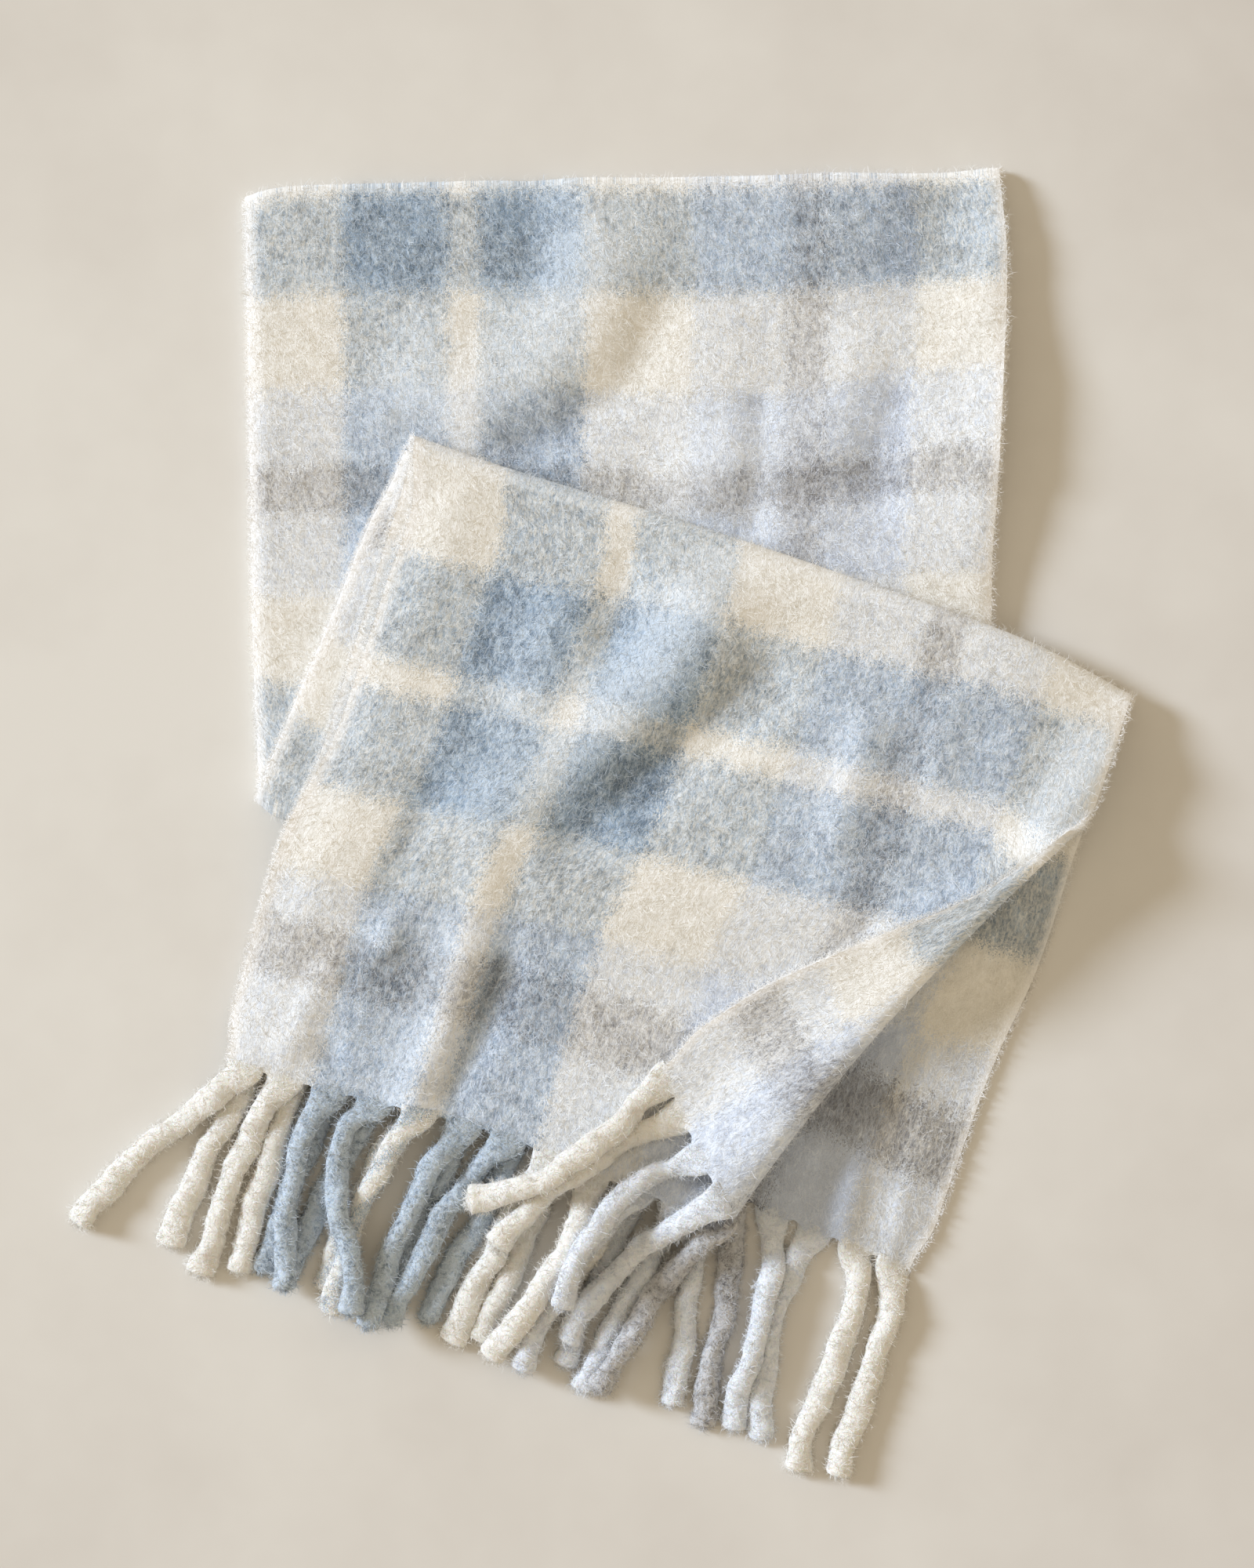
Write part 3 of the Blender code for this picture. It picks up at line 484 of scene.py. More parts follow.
def fibres(
    rows,
    places,
    count,
    length,
    seed,
    shown=1.0,
    off=WALL / 2,
    centres=None,
    lift=(20, 50),
    spread=50,
    thickness=HAIR,
):
    """Thin curved blades rooted all over a laid grid, each with the place of its root in the cloth.

    They stand off the grid's middle, up or away from centres, lifted and spread by the degrees given.
    """
    random = np.random.default_rng(seed)
    along, across, normal, area = cell_frames(rows, centres)
    chance = (area * shown).reshape(-1)
    cell = random.choice(len(chance), count, p=chance / chance.sum())
    i, j = np.divmod(cell, rows.shape[1] - 1)
    s, t = random.random((2, count, 1))

    def in_cell(grid):
        upper = grid[i, j] * (1 - t) + grid[i, j + 1] * t
        lower = grid[i + 1, j] * (1 - t) + grid[i + 1, j + 1] * t
        return upper * (1 - s) + lower * s

    up = normal[i, j]
    root = in_cell(rows) + up * (off - ROOT_DEPTH)
    heading = np.radians(random.normal(0, spread, (count, 1))) + math.pi * (random.random((count, 1)) < 0.5)
    bend = np.radians(random.normal(0, HAIR_BEND, (count, 1)))
    rise = np.radians(random.uniform(*lift, (count, 1)))
    reach = length * random.uniform(0.5, 1.3, (count, 1)) / 2

    def ahead(angle):
        return along[i, j] * np.cos(angle) + across[i, j] * np.sin(angle)

    middle = root + reach * (ahead(heading) * np.cos(rise) + up * np.sin(rise))
    tip = middle + reach * (ahead(heading + bend) * np.cos(rise * 0.2) + up * np.sin(rise * 0.2))
    side = unit(np.cross(ahead(heading + bend / 2), up) + up * random.normal(0, 0.35, (count, 1)))
    thick = thickness * random.uniform(0.7, 1.3, (count, 1)) / 2
    low = [root - side * thick, root + side * thick]
    high = [middle + side * thick * 0.8, middle - side * thick * 0.8]
    return np.stack([*low, *high, tip], axis=1), in_cell(places)


def nap_piece(name, batches, wool_kind=highlit_nap_wool):
    """One mesh of all the blades, each with a four-sided foot and a three-sided tip."""
    blades = np.concatenate([blade for blade, _ in batches])
    blades[..., 2] = np.maximum(blades[..., 2], HAIR_FLOOR)
    places = np.concatenate([place for _, place in batches])
    first = np.arange(len(blades)) * 5
    mesh = bpy.data.meshes.new(name)
    mesh.vertices.add(len(blades) * 5)
    mesh.vertices.foreach_set("co", blades.reshape(-1).astype(np.float32))
    mesh.loops.add(len(blades) * 7)
    corners = first[:, None] + np.array((0, 1, 2, 3, 3, 2, 4))
    mesh.loops.foreach_set("vertex_index", corners.reshape(-1).astype(np.int32))
    mesh.polygons.add(len(blades) * 2)
    starts = (np.arange(len(blades)) * 7)[:, None] + np.array((0, 4))
    mesh.polygons.foreach_set("loop_start", starts.reshape(-1).astype(np.int32))
    mesh.update(calc_edges=True)
    give_uv_maps(mesh, np.repeat(places, 7, axis=0))
    mesh.validate()
    mesh.materials.append(wool_kind)
    mesh.shade_smooth()
    piece = bpy.data.objects.new(name, mesh)
    bpy.context.collection.objects.link(piece)
    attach(piece, "root")
    return piece


def in_frame(rows):
    return rows - np.array((*PLAN_CENTRE, 0.0))


RIM_OUT = 0.0004
RIM_IN = 0.003


def rim_fibres(rows, places, count, length, seed):
    """Blades round the two side edges of a laid sheet, away from centres just inside them."""
    batches = []
    for number, (edge, inner) in enumerate(((rows[:, 0], rows[:, 1]), (rows[:, -1], rows[:, -2]))):
        out = unit(edge - inner)
        run = np.gradient(edge, axis=0)
        up = unit(np.cross(out, run)) * WALL / 2
        rim = np.stack([edge + up, edge + out * RIM_OUT, edge - up], axis=1)
        rim_places = np.repeat(places[:, [-number]], 3, axis=1)
        round_edge = {"off": ROOT_DEPTH, "centres": (edge - out * RIM_IN)[:-1, None], "spread": 80}
        batches.append(fibres(rim, rim_places, count, length, seed + number, **round_edge))
    return batches


TURN_OUT = outward_of(TURN, -1)
CREST_OUT = outward_of(CREST, 1)
turn_line = curve_through(TURN)
under_sheet = WALL / 2 + FLOOR_AIR  # the height of the middle of the layer on the floor
back_sheet = BACK_HEIGHT - WALL / 2
fold_start = moved(turn_line, TURN_OUT * -TURN_INSET)
far_inset = WALL / 2 + (back_sheet - under_sheet) / 2
back_plan = patch(moved(curve_through(BACK_TOP), (0.0, -far_inset)), fold_start, BACK_LEFT, BACK_RIGHT)


def back_top(place):
    """The back stretch's top: soft folds where it shows, and level under the other stretches."""
    past_crest = smooth((beyond(CREST, 1, place) - COVERED_PAST) / COVERED_FADE)
    past_middle = smooth((-beyond(MIDDLE_SIDE, 1, place) - COVERED_PAST) / COVERED_FADE)
    return BACK_HEIGHT + relief(BACK_FOLDS + EDGE_LIFTS, place) * np.maximum(past_crest, past_middle)


across_shares = np.linspace(0, 1, ACROSS_CELLS + 1)
half_way = np.full_like(across_shares, HALF_WAY)
lower_turn = LOWER_TURN[0] + (LOWER_TURN[1] - LOWER_TURN[0]) * across_shares
upper_turn = UPPER_TURN[0] + (UPPER_TURN[1] - UPPER_TURN[0]) * across_shares**UPPER_TURN_BOW
side_distance = np.minimum(across_shares, 1 - across_shares) * CLOTH_WIDTH


def back_row(along, lower):
    place = back_plan(across_shares, along)
    if lower:
        return raised(place, under_sheet + relief(EDGE_LIFTS, place) * LOWER_LIFT)
    at_far_fold = fall(along * (HALF_WAY - LOWER_TURN[0]), EDGE_REACH) * 0.5
    droop = EDGE_DROOP * (fall(side_distance, EDGE_REACH) + at_far_fold)
    return raised(place, back_top(place) - WALL / 2 - droop)


upper_rows = [back_row(along, False) for along in np.linspace(1, 0, BACK_ROWS)]
fold_rows = half_turn(upper_rows[-1], under_sheet, np.array((0.0, 1.0)))
lower_rows = [back_row(along, True) for along in np.linspace(0, 1, HIDDEN_ROWS)[1:]]
back_rows = np.array(upper_rows + fold_rows + lower_rows)
back_from_fringe = np.concatenate([
    from_fringe_between(lower_turn, half_way, BACK_ROWS),
    from_fringe_between(half_way, half_way, FOLD_ROWS),
    from_fringe_between(half_way, lower_turn, HIDDEN_ROWS)[1:],
])
sagging = np.exp(-(((across_shares - 0.62) / 0.26) ** 2) - ((back_from_fringe - 0.83) / 0.10) ** 2)
slack = smooth((0.90 - back_from_fringe) / 0.05) * (1 - smooth((across_shares - 0.72) / 0.15))
back_from_fringe = back_from_fringe + SAG * sagging + SLACK * slack
# Painted light and shade: lighter on the lit side of each fold of the back stretch, darker in its troughs.
back_painted_light = painted_lit_side(BACK_FOLDS, back_rows[..., :2], most=0.0055)
# and a painted highlight along the far fold
back_painted_light[BACK_ROWS - 1 : BACK_ROWS + FOLD_ROWS] = FAR_FOLD_PAINTED_HIGHLIGHT
back_places = cloth_places(back_rows, back_from_fringe, back_painted_light)
back_shown = np.zeros((len(back_rows) - 1, ACROSS_CELLS))
back_spots = back_rows[:-1, :-1, :2]
# The nap goes on a little way under what covers the cloth.
back_clear = (beyond(CREST, 1, back_spots) > -0.012) | (beyond(MIDDLE_SIDE, 1, back_spots) < 0.006)
back_shown[: BACK_ROWS + 2] = back_clear[: BACK_ROWS + 2]
back_rows = in_frame(back_rows)
back_cloth = sheet_mesh("back_stretch_cloth", back_rows, back_places)
give_wall(back_cloth)
back_cloth.data.materials.append(wool)
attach(back_cloth, "root")
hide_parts("back_stretch")

back_fibres = [fibres(back_rows, back_places, count=52000, length=0.0070, seed=11, shown=back_shown)]
back_fibres += rim_fibres(back_rows, back_places, count=3600, length=0.006, seed=21)
back_nap = nap_piece("back_stretch_nap", back_fibres)

# ----------------------------------------------------------------------------------------------------------
# The middle stretch
# ----------------------------------------------------------------------------------------------------------
# The doubled cloth lying back over the back stretch, from the lower turn up to the upper one. Its two layers
# are two sheets: the lower one comes out of the turn's inside, the upper one round its outside.

MIDDLE_HEIGHT = 0.0087
SEAM_GAP = 0.0003
OFF_BACK = 0.080  # past the back stretch's right edge, the layers on it come down over this width
EDGE_ROUND = 0.0025
CREST_RADIUS = 0.0070  # of the roll over the upper turn
CREST_SKEW = 0.005  # how far the roll's lip lies left of its top, in the first quarter of its width
SKEW_SHARE = 0.25
HIDDEN_GAP = 0.0008
LEFT_STRIP = 0.09  # what shows of it runs from the left selvedge to here, and from here to the right one
RIGHT_STRIP = 0.97
MIDDLE_ROWS = 52
MIDDLE_RIGHT = [(0.272, 0.006)]
ALONG_CREST = np.array((CREST_OUT[1], -CREST_OUT[0]))
BACK_EDGE = [BACK_RIGHT[-2], TURN[-1]]

crest_line = moved(curve_through(CREST), CREST_OUT * -CREST_RADIUS)


def middle_top_line(share):
    """The middle stretch ends behind the roll's lower lip, a little further left than the roll's top."""
    skew = CREST_SKEW * fall(np.asarray(share), SKEW_SHARE)
    return crest_line(share) - CREST_OUT * HIDDEN_GAP - ALONG_CREST * skew[..., None]


middle_plan = patch(middle_top_line, fold_start, MIDDLE_LEFT, MIDDLE_RIGHT)


def bed_height(place):
    """The back stretch's top, and the slope that the layers on it take down past its right edge."""
    return BACK_HEIGHT * fall(beyond(BACK_EDGE, 1, place) - EDGE_ROUND, OFF_BACK)


def middle_top(place):
    return bed_height(place) + SEAM_GAP + MIDDLE_HEIGHT


def middle_row(along, upper):
    place = middle_plan(across_shares, along)
    droop = EDGE_DROOP * 0.4 * fall(side_distance, EDGE_REACH)
    if upper:
        return raised(place, middle_top(place) - WALL / 2 - droop)
    return raised(place, bed_height(place) + SEAM_GAP + WALL / 2)


turn_places = fold_start(across_shares)
outer_start = raised(turn_places, under_sheet)
inner_start = raised(turn_places, back_sheet)
outer_end = middle_row(1.0, True)[:, 2]
inner_end = middle_row(1.0, False)[:, 2]
upper_flat = [middle_row(along, True) for along in np.linspace(1, 0, MIDDLE_ROWS)[1:]]
lower_flat = [middle_row(along, False) for along in np.linspace(1, 0, HIDDEN_ROWS)[1:]]
upper_layer = np.array([outer_start] + half_turn(outer_start, outer_end, TURN_OUT) + upper_flat)
lower_layer = np.array([inner_start] + half_turn(inner_start, inner_end, TURN_OUT) + lower_flat)
round_turn = from_fringe_between(lower_turn, lower_turn, FOLD_ROWS + 1)
upper_from_fringe = np.concatenate([round_turn, from_fringe_between(lower_turn, upper_turn, MIDDLE_ROWS)[1:]])
lower_from_fringe = np.concatenate([round_turn, from_fringe_between(lower_turn, upper_turn, HIDDEN_ROWS)[1:]])
upper_places = cloth_places(upper_layer, upper_from_fringe)
lower_places = cloth_places(lower_layer, lower_from_fringe)
middle_shown = (across_shares[:-1] < LEFT_STRIP) | (across_shares[:-1] > RIGHT_STRIP)
upper_layer, lower_layer = in_frame(upper_layer), in_frame(lower_layer)
lower_sheet = sheet_mesh("middle_stretch_lower_layer", lower_layer, lower_places)
give_wall(lower_sheet)
middle_cloth = sheet_mesh("middle_stretch_cloth", upper_layer, upper_places)
give_wall(middle_cloth)
lower_sheet.select_set(True)
bpy.ops.object.join()
middle_cloth.data.materials.append(wool)
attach(middle_cloth, "root")
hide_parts("middle_stretch")

middle_fibres = [fibres(upper_layer, upper_places, count=6000, length=0.0065, seed=31, shown=middle_shown)]
middle_fibres += rim_fibres(upper_layer, upper_places, count=1500, length=0.005, seed=41)
middle_fibres += rim_fibres(lower_layer, lower_places, count=1500, length=0.005, seed=43)
middle_nap = nap_piece("middle_stretch_nap", middle_fibres)

# ----------------------------------------------------------------------------------------------------------
# The lower fringed end
# ----------------------------------------------------------------------------------------------------------
# The single layer that comes out of the upper turn's inside and lies down over the middle stretch, off its
# edges and on to the floor. It shows at the left selvedge and under the turned corner.

OFF_MIDDLE = 0.035  # past the middle stretch's right side and past the lower turn it comes down this far
OFF_TURN = 0.085
TURN_BULGE = 0.006
SLOPE_STEP = 0.001
FLOOR_NAP = 0.0002
LAYER_AIR = 0.0007
END_ROWS = 96
PULLED = 0.17  # the pull in the right half of both ends fades out over this length before the fringe
UNDER_SQUARE = 0.03  # and this much sooner at the right corner
TOP_SQUARE = 0.17
TOP_LEFT = [(-0.113, 0.185), (-0.128, 0.139), (-0.159, 0.048), (-0.186, -0.002), (-0.203, -0.052)]
TOP_RIGHT = [(0.295, 0.017), (0.281, -0.022), (0.260, -0.090), (0.235, -0.145), (0.214, -0.202)]
TOP_END = [(-0.228, -0.142), (-0.172, -0.158), (-0.069, -0.184), (0.015, -0.218), (0.075, -0.240)]
TOP_END += [(0.189, -0.279)]
UNDER_LEFT = [(-0.119, 0.195), (-0.137, 0.137), (-0.166, 0.043), (-0.183, 0.000), (-0.198, -0.052)]
UNDER_END = [(-0.219, -0.130), (-0.104, -0.160), (0.015, -0.199), (0.108, -0.236), (0.190, -0.271)]
UNDER_FOLDS = [
    (0.010, 0.0016, (0.197, -0.134), (0.183, -0.241)),
    (0.010, 0.0018, (0.156, -0.186), (0.140, -0.241)),
    (0.007, -0.0014, (0.168, -0.210), (0.162, -0.250)),
    (0.006, 0.0028, (0.150, -0.214), (0.142, -0.252)),
    (0.006, 0.0022, (0.178, -0.226), (0.172, -0.262)),
]
UNDER_PAINTED_SHADE = -1.7  # painted shade: darker fibres show on the lower end, for the shadow that the turned corner casts on it
MIDDLE_EDGE = [CREST[-1], TURN[-1]]
TASSELS = 16
WEB = 0.0015  # how far the cloth runs past its end between two tassels
TONGUE = 0.0095  # and at the root of a tassel
TONGUE_ROWS = 4
DRAWN_IN = 0.006  # how far the outermost tassels gather the selvedges in
DRAWN_ROWS = 0.032
DRAWN_EDGE = 0.055

top_plan = patch(crest_line, curve_through(TOP_END), TOP_LEFT, TOP_RIGHT)
under_left = curve_through([crest_line(0.0), *UNDER_LEFT, UNDER_END[0]])
under_end = curve_through(UNDER_END)


def under_plan(across, along):
    """The lower end lies in the upper one's plan, but for its left selvedge and its fringe end."""
    left_share, end_share = fall(across, 0.10)[..., None], smooth((along - 0.75) / 0.25)[..., None]
    left_shift = (under_left(along) - top_plan(np.zeros_like(across), along)) * left_share * (1 - end_share)
    end_shift = (under_end(across) - top_plan(across, np.ones_like(along))) * end_share
    return top_plan(across, along) + left_shift + end_shift


def pile_height(place):
    """The back of the lower end: on the middle stretch, and down to the floor past its edges."""
    off_side = fall(beyond(MIDDLE_EDGE, 1, place) - SLOPE_STEP, OFF_MIDDLE)
    off_turn = fall(beyond(TURN, -1, place) - TURN_BULGE, OFF_TURN)
    rest = (middle_top(place) + LAYER_AIR - FLOOR_NAP) * off_side * off_turn
    return np.maximum(rest + relief(UNDER_FOLDS, place), 0.0) + FLOOR_NAP


def slant(place):
    """How much taller a sloping layer stands than a level one."""
    here = pile_height(place)
    east = pile_height(place + (SLOPE_STEP, 0)) - here
    north = pile_height(place + (0, SLOPE_STEP)) - here
    return np.sqrt(1 + (east * east + north * north) / SLOPE_STEP**2)


def laid_under(place):
    return raised(place, pile_height(place) + LAYER / 2 * slant(place))


def end_from_fringe(count, shares, square_corner):
    """How far from the fringe each point of a fringed end lies, with its right half pulled."""
    start = np.full_like(shares, UPPER_TURN[0])
    even = from_fringe_between(start, start * 0, count)
    past_corner = even - square_corner * smooth((shares - 0.80) / 0.14)
    return even - (UPPER_TURN[0] - UPPER_TURN[1]) * shares**UPPER_TURN_BOW * smooth(past_corner / PULLED)


def with_tongues(rows, from_fringe, pale=0.0):
    """Adds the last threads of the cloth, which narrow into the root of each tassel."""
    shares = np.linspace(0, 1, rows.shape[1])
    from_left = unit(rows[:, 3:4] - rows[:, :1]) * fall(shares, DRAWN_EDGE)[:, None]
    from_right = unit(rows[:, -4:-3] - rows[:, -1:]) * fall(1 - shares, DRAWN_EDGE)[:, None]
    rows = rows + (from_left + from_right) * fall(from_fringe, DRAWN_ROWS)[..., None] * DRAWN_IN
    down = unit(rows[-1] - rows[-3])
    wave = np.abs(np.cos(math.pi * shares * TASSELS)) ** 1.5
    length = TONGUE - (TONGUE - WEB) * wave
    extra = [rows[-1] + down * (length * step / TONGUE_ROWS)[:, None] for step in range(1, TONGUE_ROWS + 1)]
    places = cloth_places(rows, from_fringe, pale)
    more = []
    for step in range(1, TONGUE_ROWS + 1):
        past = places[-1].copy()
        past[:, 1] = -length * step / TONGUE_ROWS
        more.append(past)
    return np.concatenate([rows, extra]), np.concatenate([places, more])


crest_places = crest_line(across_shares)
inner_fold_start = raised(crest_places, middle_top(crest_places) - WALL / 2)
flat_rows = [laid_under(under_plan(across_shares, along)) for along in np.linspace(0, 1, END_ROWS)]
inner_fold = half_turn(inner_fold_start, flat_rows[0][:, 2], CREST_OUT)[:-1]
under_rows = np.array([inner_fold_start] + inner_fold + flat_rows)
round_turn = from_fringe_between(upper_turn, upper_turn, FOLD_ROWS)
under_from_fringe = np.concatenate([round_turn, end_from_fringe(END_ROWS, across_shares, UNDER_SQUARE)])
# Painted shade on the lower end: none at its left selvedge, in full from 0.3 of the way across.
under_painted_shade = UNDER_PAINTED_SHADE * smooth(across_shares / 0.3)
under_rows, under_places = with_tongues(under_rows, under_from_fringe, under_painted_shade)

# What shows of it is a strip at the left, its fringe end, and the lower right under the turned corner.
CORNER_TOP = np.array((0.2900, 0.0015))
CORNER_END = np.array((0.075, -0.240))
CORNER_RUN = (CORNER_END - CORNER_TOP) / np.linalg.norm(CORNER_END - CORNER_TOP)
CORNER_OUT = np.array((-CORNER_RUN[1], CORNER_RUN[0]))
under_spots = under_rows[:-1, :-1, :2]
under_shown = ((under_spots - CORNER_TOP) @ CORNER_OUT > -0.012) | (across_shares[:-1] < 0.05)
under_shown = under_shown | (np.arange(len(under_spots))[:, None] > FOLD_ROWS + END_ROWS - 8)
under_shown[:FOLD_ROWS] = False
under_rows = in_frame(under_rows)
under_cloth = sheet_mesh("under_end_cloth", under_rows, under_places)
give_wall(under_cloth, LAYER)
under_cloth.data.materials.append(wool)
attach(under_cloth, "root")
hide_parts("under_end")

under_fibres = [fibres(under_rows, under_places, count=18000, length=0.0070, seed=51, shown=under_shown)]
under_fibres += rim_fibres(under_rows, under_places, count=3600, length=0.006, seed=53)
under_nap = nap_piece("under_end_nap", under_fibres)

# ----------------------------------------------------------------------------------------------------------
# The upper fringed end
# ----------------------------------------------------------------------------------------------------------
# The layer on top: it rolls over the upper turn, lies loose over the lower end in soft folds, and its lower
# right corner is turned over in a wide soft roll that shows the cloth's back.

LOOSE_LIFT = 0.0045  # in its middle, up to this margin from its sides
LOOSE_MARGIN = 0.030
END_LIFT = 0.0053  # over the tassels under its end, fading out over this margin
END_MARGIN = 0.045
CORNER_RADIUS_TOP = 0.0032  # the turned corner's roll gets wider on its way to the fringe
CORNER_RADIUS_END = 0.0110
CORNER_AIR = 0.0025
CORNER_SETTLES = 0.060  # the width over which the turned cloth comes down from the roll
CORNER_BOW = 0.0095  # how far in the middle of the roll bows
ROLL_LENGTH = 0.028  # the length of cloth that goes into the roll over the upper turn
# painted highlight along the roll over the upper turn
ROLL_PAINTED_HIGHLIGHT = 0.5
TOP_ACROSS_CELLS = 150
TOP_ROWS = 126
TOP_FOLDS = [
    (0.026, 0.0088, (0.078, 0.146), (0.040, 0.086), (0.014, 0.060)),
    (0.023, 0.0050, (-0.016, 0.036), (-0.042, 0.011)),
    (0.018, -0.0072, (0.094, 0.078), (0.062, 0.051), (0.022, 0.019)),
    (0.016, -0.0030, (-0.006, -0.006), (-0.016, -0.012)),
    (0.020, 0.0034, (-0.028, 0.112), (-0.038, 0.072)),
    (0.020, 0.0022, (-0.046, 0.048), (-0.064, 0.008)),
    (0.030, -0.0030, (-0.048, 0.189), (-0.079, 0.090)),
    (0.013, -0.0028, (0.019, 0.168), (0.004, 0.104)),
    (0.013, 0.0030, (-0.068, -0.020), (-0.078, -0.060)),
    (0.014, 0.0056, (-0.083, -0.084), (-0.096, -0.134), (-0.112, -0.170)),
    (0.010, -0.0014, (-0.050, -0.030), (-0.055, -0.074)),
    (0.012, -0.0064, (-0.058, -0.092), (-0.073, -0.126), (-0.092, -0.160)),
    (0.009, 0.0038, (-0.126, -0.066), (-0.154, -0.128)),
    (0.008, -0.0028, (-0.136, -0.092), (-0.162, -0.140)),
    (0.009, 0.0030, (-0.164, -0.092), (-0.188, -0.138)),
    (0.013, -0.0025, (-0.100, 0.020), (-0.125, -0.040)),
    (0.012, 0.0034, (0.156, 0.050), (0.138, -0.012)),
    (0.010, -0.0020, (0.206, 0.120), (0.201, 0.094)),
    (0.013, 0.0024, (0.204, 0.062), (0.197, 0.026)),
]
# Beside the turned corner the cloth stands up in a sharp ridge, and falls off from it to the roll.
CORNER_FOLDS = [
    (0.021, 0.0118, (0.300, 0.034), (0.292, 0.017), (0.286, 0.002), (0.275, -0.014)),
    (0.016, 0.0050, (0.262, -0.022), (0.246, -0.030)),
    (0.010, 0.0035, (0.225, -0.041), (0.202, -0.053), (0.167, -0.068)),
    (0.010, -0.0070, (0.284, -0.018), (0.262, -0.036), (0.245, -0.052), (0.215, -0.085)),
]
# Where the selvedge comes to lie once the corner is turned over, from the roll's start to the fringe.
TURNED_SELVEDGE = [(0.288, -0.002), (0.272, -0.016), (0.248, -0.029), (0.225, -0.043), (0.202, -0.054)]
TURNED_SELVEDGE += [(0.167, -0.068), (0.132, -0.083), (0.096, -0.100), (0.064, -0.121), (0.033, -0.143)]


def top_lift(place):
    """How far the upper end stands off the lower: loose in its middle, and over the tassels at its end."""
    from_crest = -beyond(CREST, 1, place) - CREST_RADIUS
    from_left = -beyond([TOP_LEFT[0], TOP_LEFT[-1]], -1, place)
    from_right = -beyond([CREST[-1], TOP_END[-1]], 1, place)
    from_end = -beyond([TOP_END[0], TOP_END[-1]], -1, place)
    free = 1.0
    for distance in (from_crest, from_left, from_right):
        free = free * smooth(distance / LOOSE_MARGIN)
    loose = (LOOSE_LIFT + relief(TOP_FOLDS, place)) * free + relief(CORNER_FOLDS, place)
    return np.maximum(loose, 0.0) + END_LIFT * fall(from_end, END_MARGIN) + LAYER_AIR


def top_middle_height(place):
    return pile_height(place) + LAYER * 1.5 * slant(place) + top_lift(place)


def along_corner(points):
    """Points as their distance down the corner's roll and their distance outside it."""
    from_top = np.asarray(points) - CORNER_TOP
    return from_top @ CORNER_RUN, from_top @ CORNER_OUT


corner_shares = np.linspace(0, 1, 61)
flat_selvedge = along_corner(top_plan(np.ones_like(corner_shares), corner_shares))
turned_selvedge = along_corner(curve_through(TURNED_SELVEDGE)(corner_shares))


def laid_top(place):
    """Where points of the upper end lie: in its plan, round the corner's roll, or turned over on itself."""
    distance, outside = along_corner(place)
    share = np.clip(distance / np.linalg.norm(CORNER_END - CORNER_TOP), 0, 1)
    radius = CORNER_RADIUS_TOP + (CORNER_RADIUS_END - CORNER_RADIUS_TOP) * share
    bow = CORNER_BOW * 4 * share * (1 - share)
    past = outside + radius + bow
    base = CORNER_TOP + distance[..., None] * CORNER_RUN - (radius + bow)[..., None] * CORNER_OUT
    base_height = top_middle_height(base)
    turn = np.clip(past / radius, 0, math.pi)
    rolled = base + CORNER_OUT * (radius * np.sin(turn))[..., None]
    rolled_height = base_height + radius * (1 - np.cos(turn))
    back = past - math.pi * radius
    cloth_width = np.interp(distance, *flat_selvedge) + bow + radius - math.pi * radius
    shown_width = -np.interp(distance, *turned_selvedge) - bow - radius
    eased = np.clip(shown_width / np.maximum(cloth_width, 0.004), 0.1, 1.2)
    over = base - CORNER_OUT * (back * eased)[..., None]
    rest = top_middle_height(over) + LAYER + CORNER_AIR
    settled = rest + np.maximum(base_height + 2 * radius - rest, 0) * fall(back, CORNER_SETTLES)
    flat, turned = past <= 0, back > 0
    spot = np.where(flat[..., None], place, np.where(turned[..., None], over, rolled))
    height = np.where(flat, top_middle_height(place), np.where(turned, settled, rolled_height))
    return raised(spot, height)


top_shares = np.linspace(0, 1, TOP_ACROSS_CELLS + 1)
flat_rows = [laid_top(top_plan(top_shares, along)) for along in np.linspace(0, 1, TOP_ROWS)]
first_row = flat_rows[0]
roll_rows = []
for step in range(FOLD_ROWS + 2, 0, -1):
    angle = math.pi * step / (FOLD_ROWS + 2)
    lip = bed_height(first_row[:, :2]) + SEAM_GAP + LAYER / 2
    from_left = np.linalg.norm(first_row[:, :2] - crest_line(0.0), axis=1) / CLOTH_WIDTH
    skew = CREST_SKEW * angle / math.pi * fall(from_left, SKEW_SHARE)
    spot = first_row[:, :2] + CREST_OUT * CREST_RADIUS * math.sin(angle) - ALONG_CREST * skew[:, None]
    roll_rows.append(raised(spot, lip + (first_row[:, 2] - lip) * (1 + math.cos(angle)) / 2))
top_rows = np.array(roll_rows + flat_rows)
flat_from_fringe = end_from_fringe(TOP_ROWS, top_shares, TOP_SQUARE)
turn_from_fringe = flat_from_fringe[0]
roll_from_fringe = from_fringe_between(turn_from_fringe + ROLL_LENGTH, turn_from_fringe, FOLD_ROWS + 3)[:-1]
top_from_fringe = np.concatenate([roll_from_fringe, flat_from_fringe])
# Painted light and shade: lighter on the lit side of each fold of the upper end and of the ridge by its
# corner, darker in its troughs.
top_painted_light = painted_lit_side(TOP_FOLDS + CORNER_FOLDS[:1], top_rows[..., :2], most=0.0090)
# and a painted highlight along the roll over the upper turn
top_painted_light[: FOLD_ROWS + 3] = ROLL_PAINTED_HIGHLIGHT
top_rows, top_places = with_tongues(top_rows, top_from_fringe, top_painted_light)
top_rows = in_frame(top_rows)
top_cloth = sheet_mesh("top_end_cloth", top_rows, top_places)
give_wall(top_cloth, LAYER)
top_cloth.data.materials.append(wool)
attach(top_cloth, "root")
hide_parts("top_end")

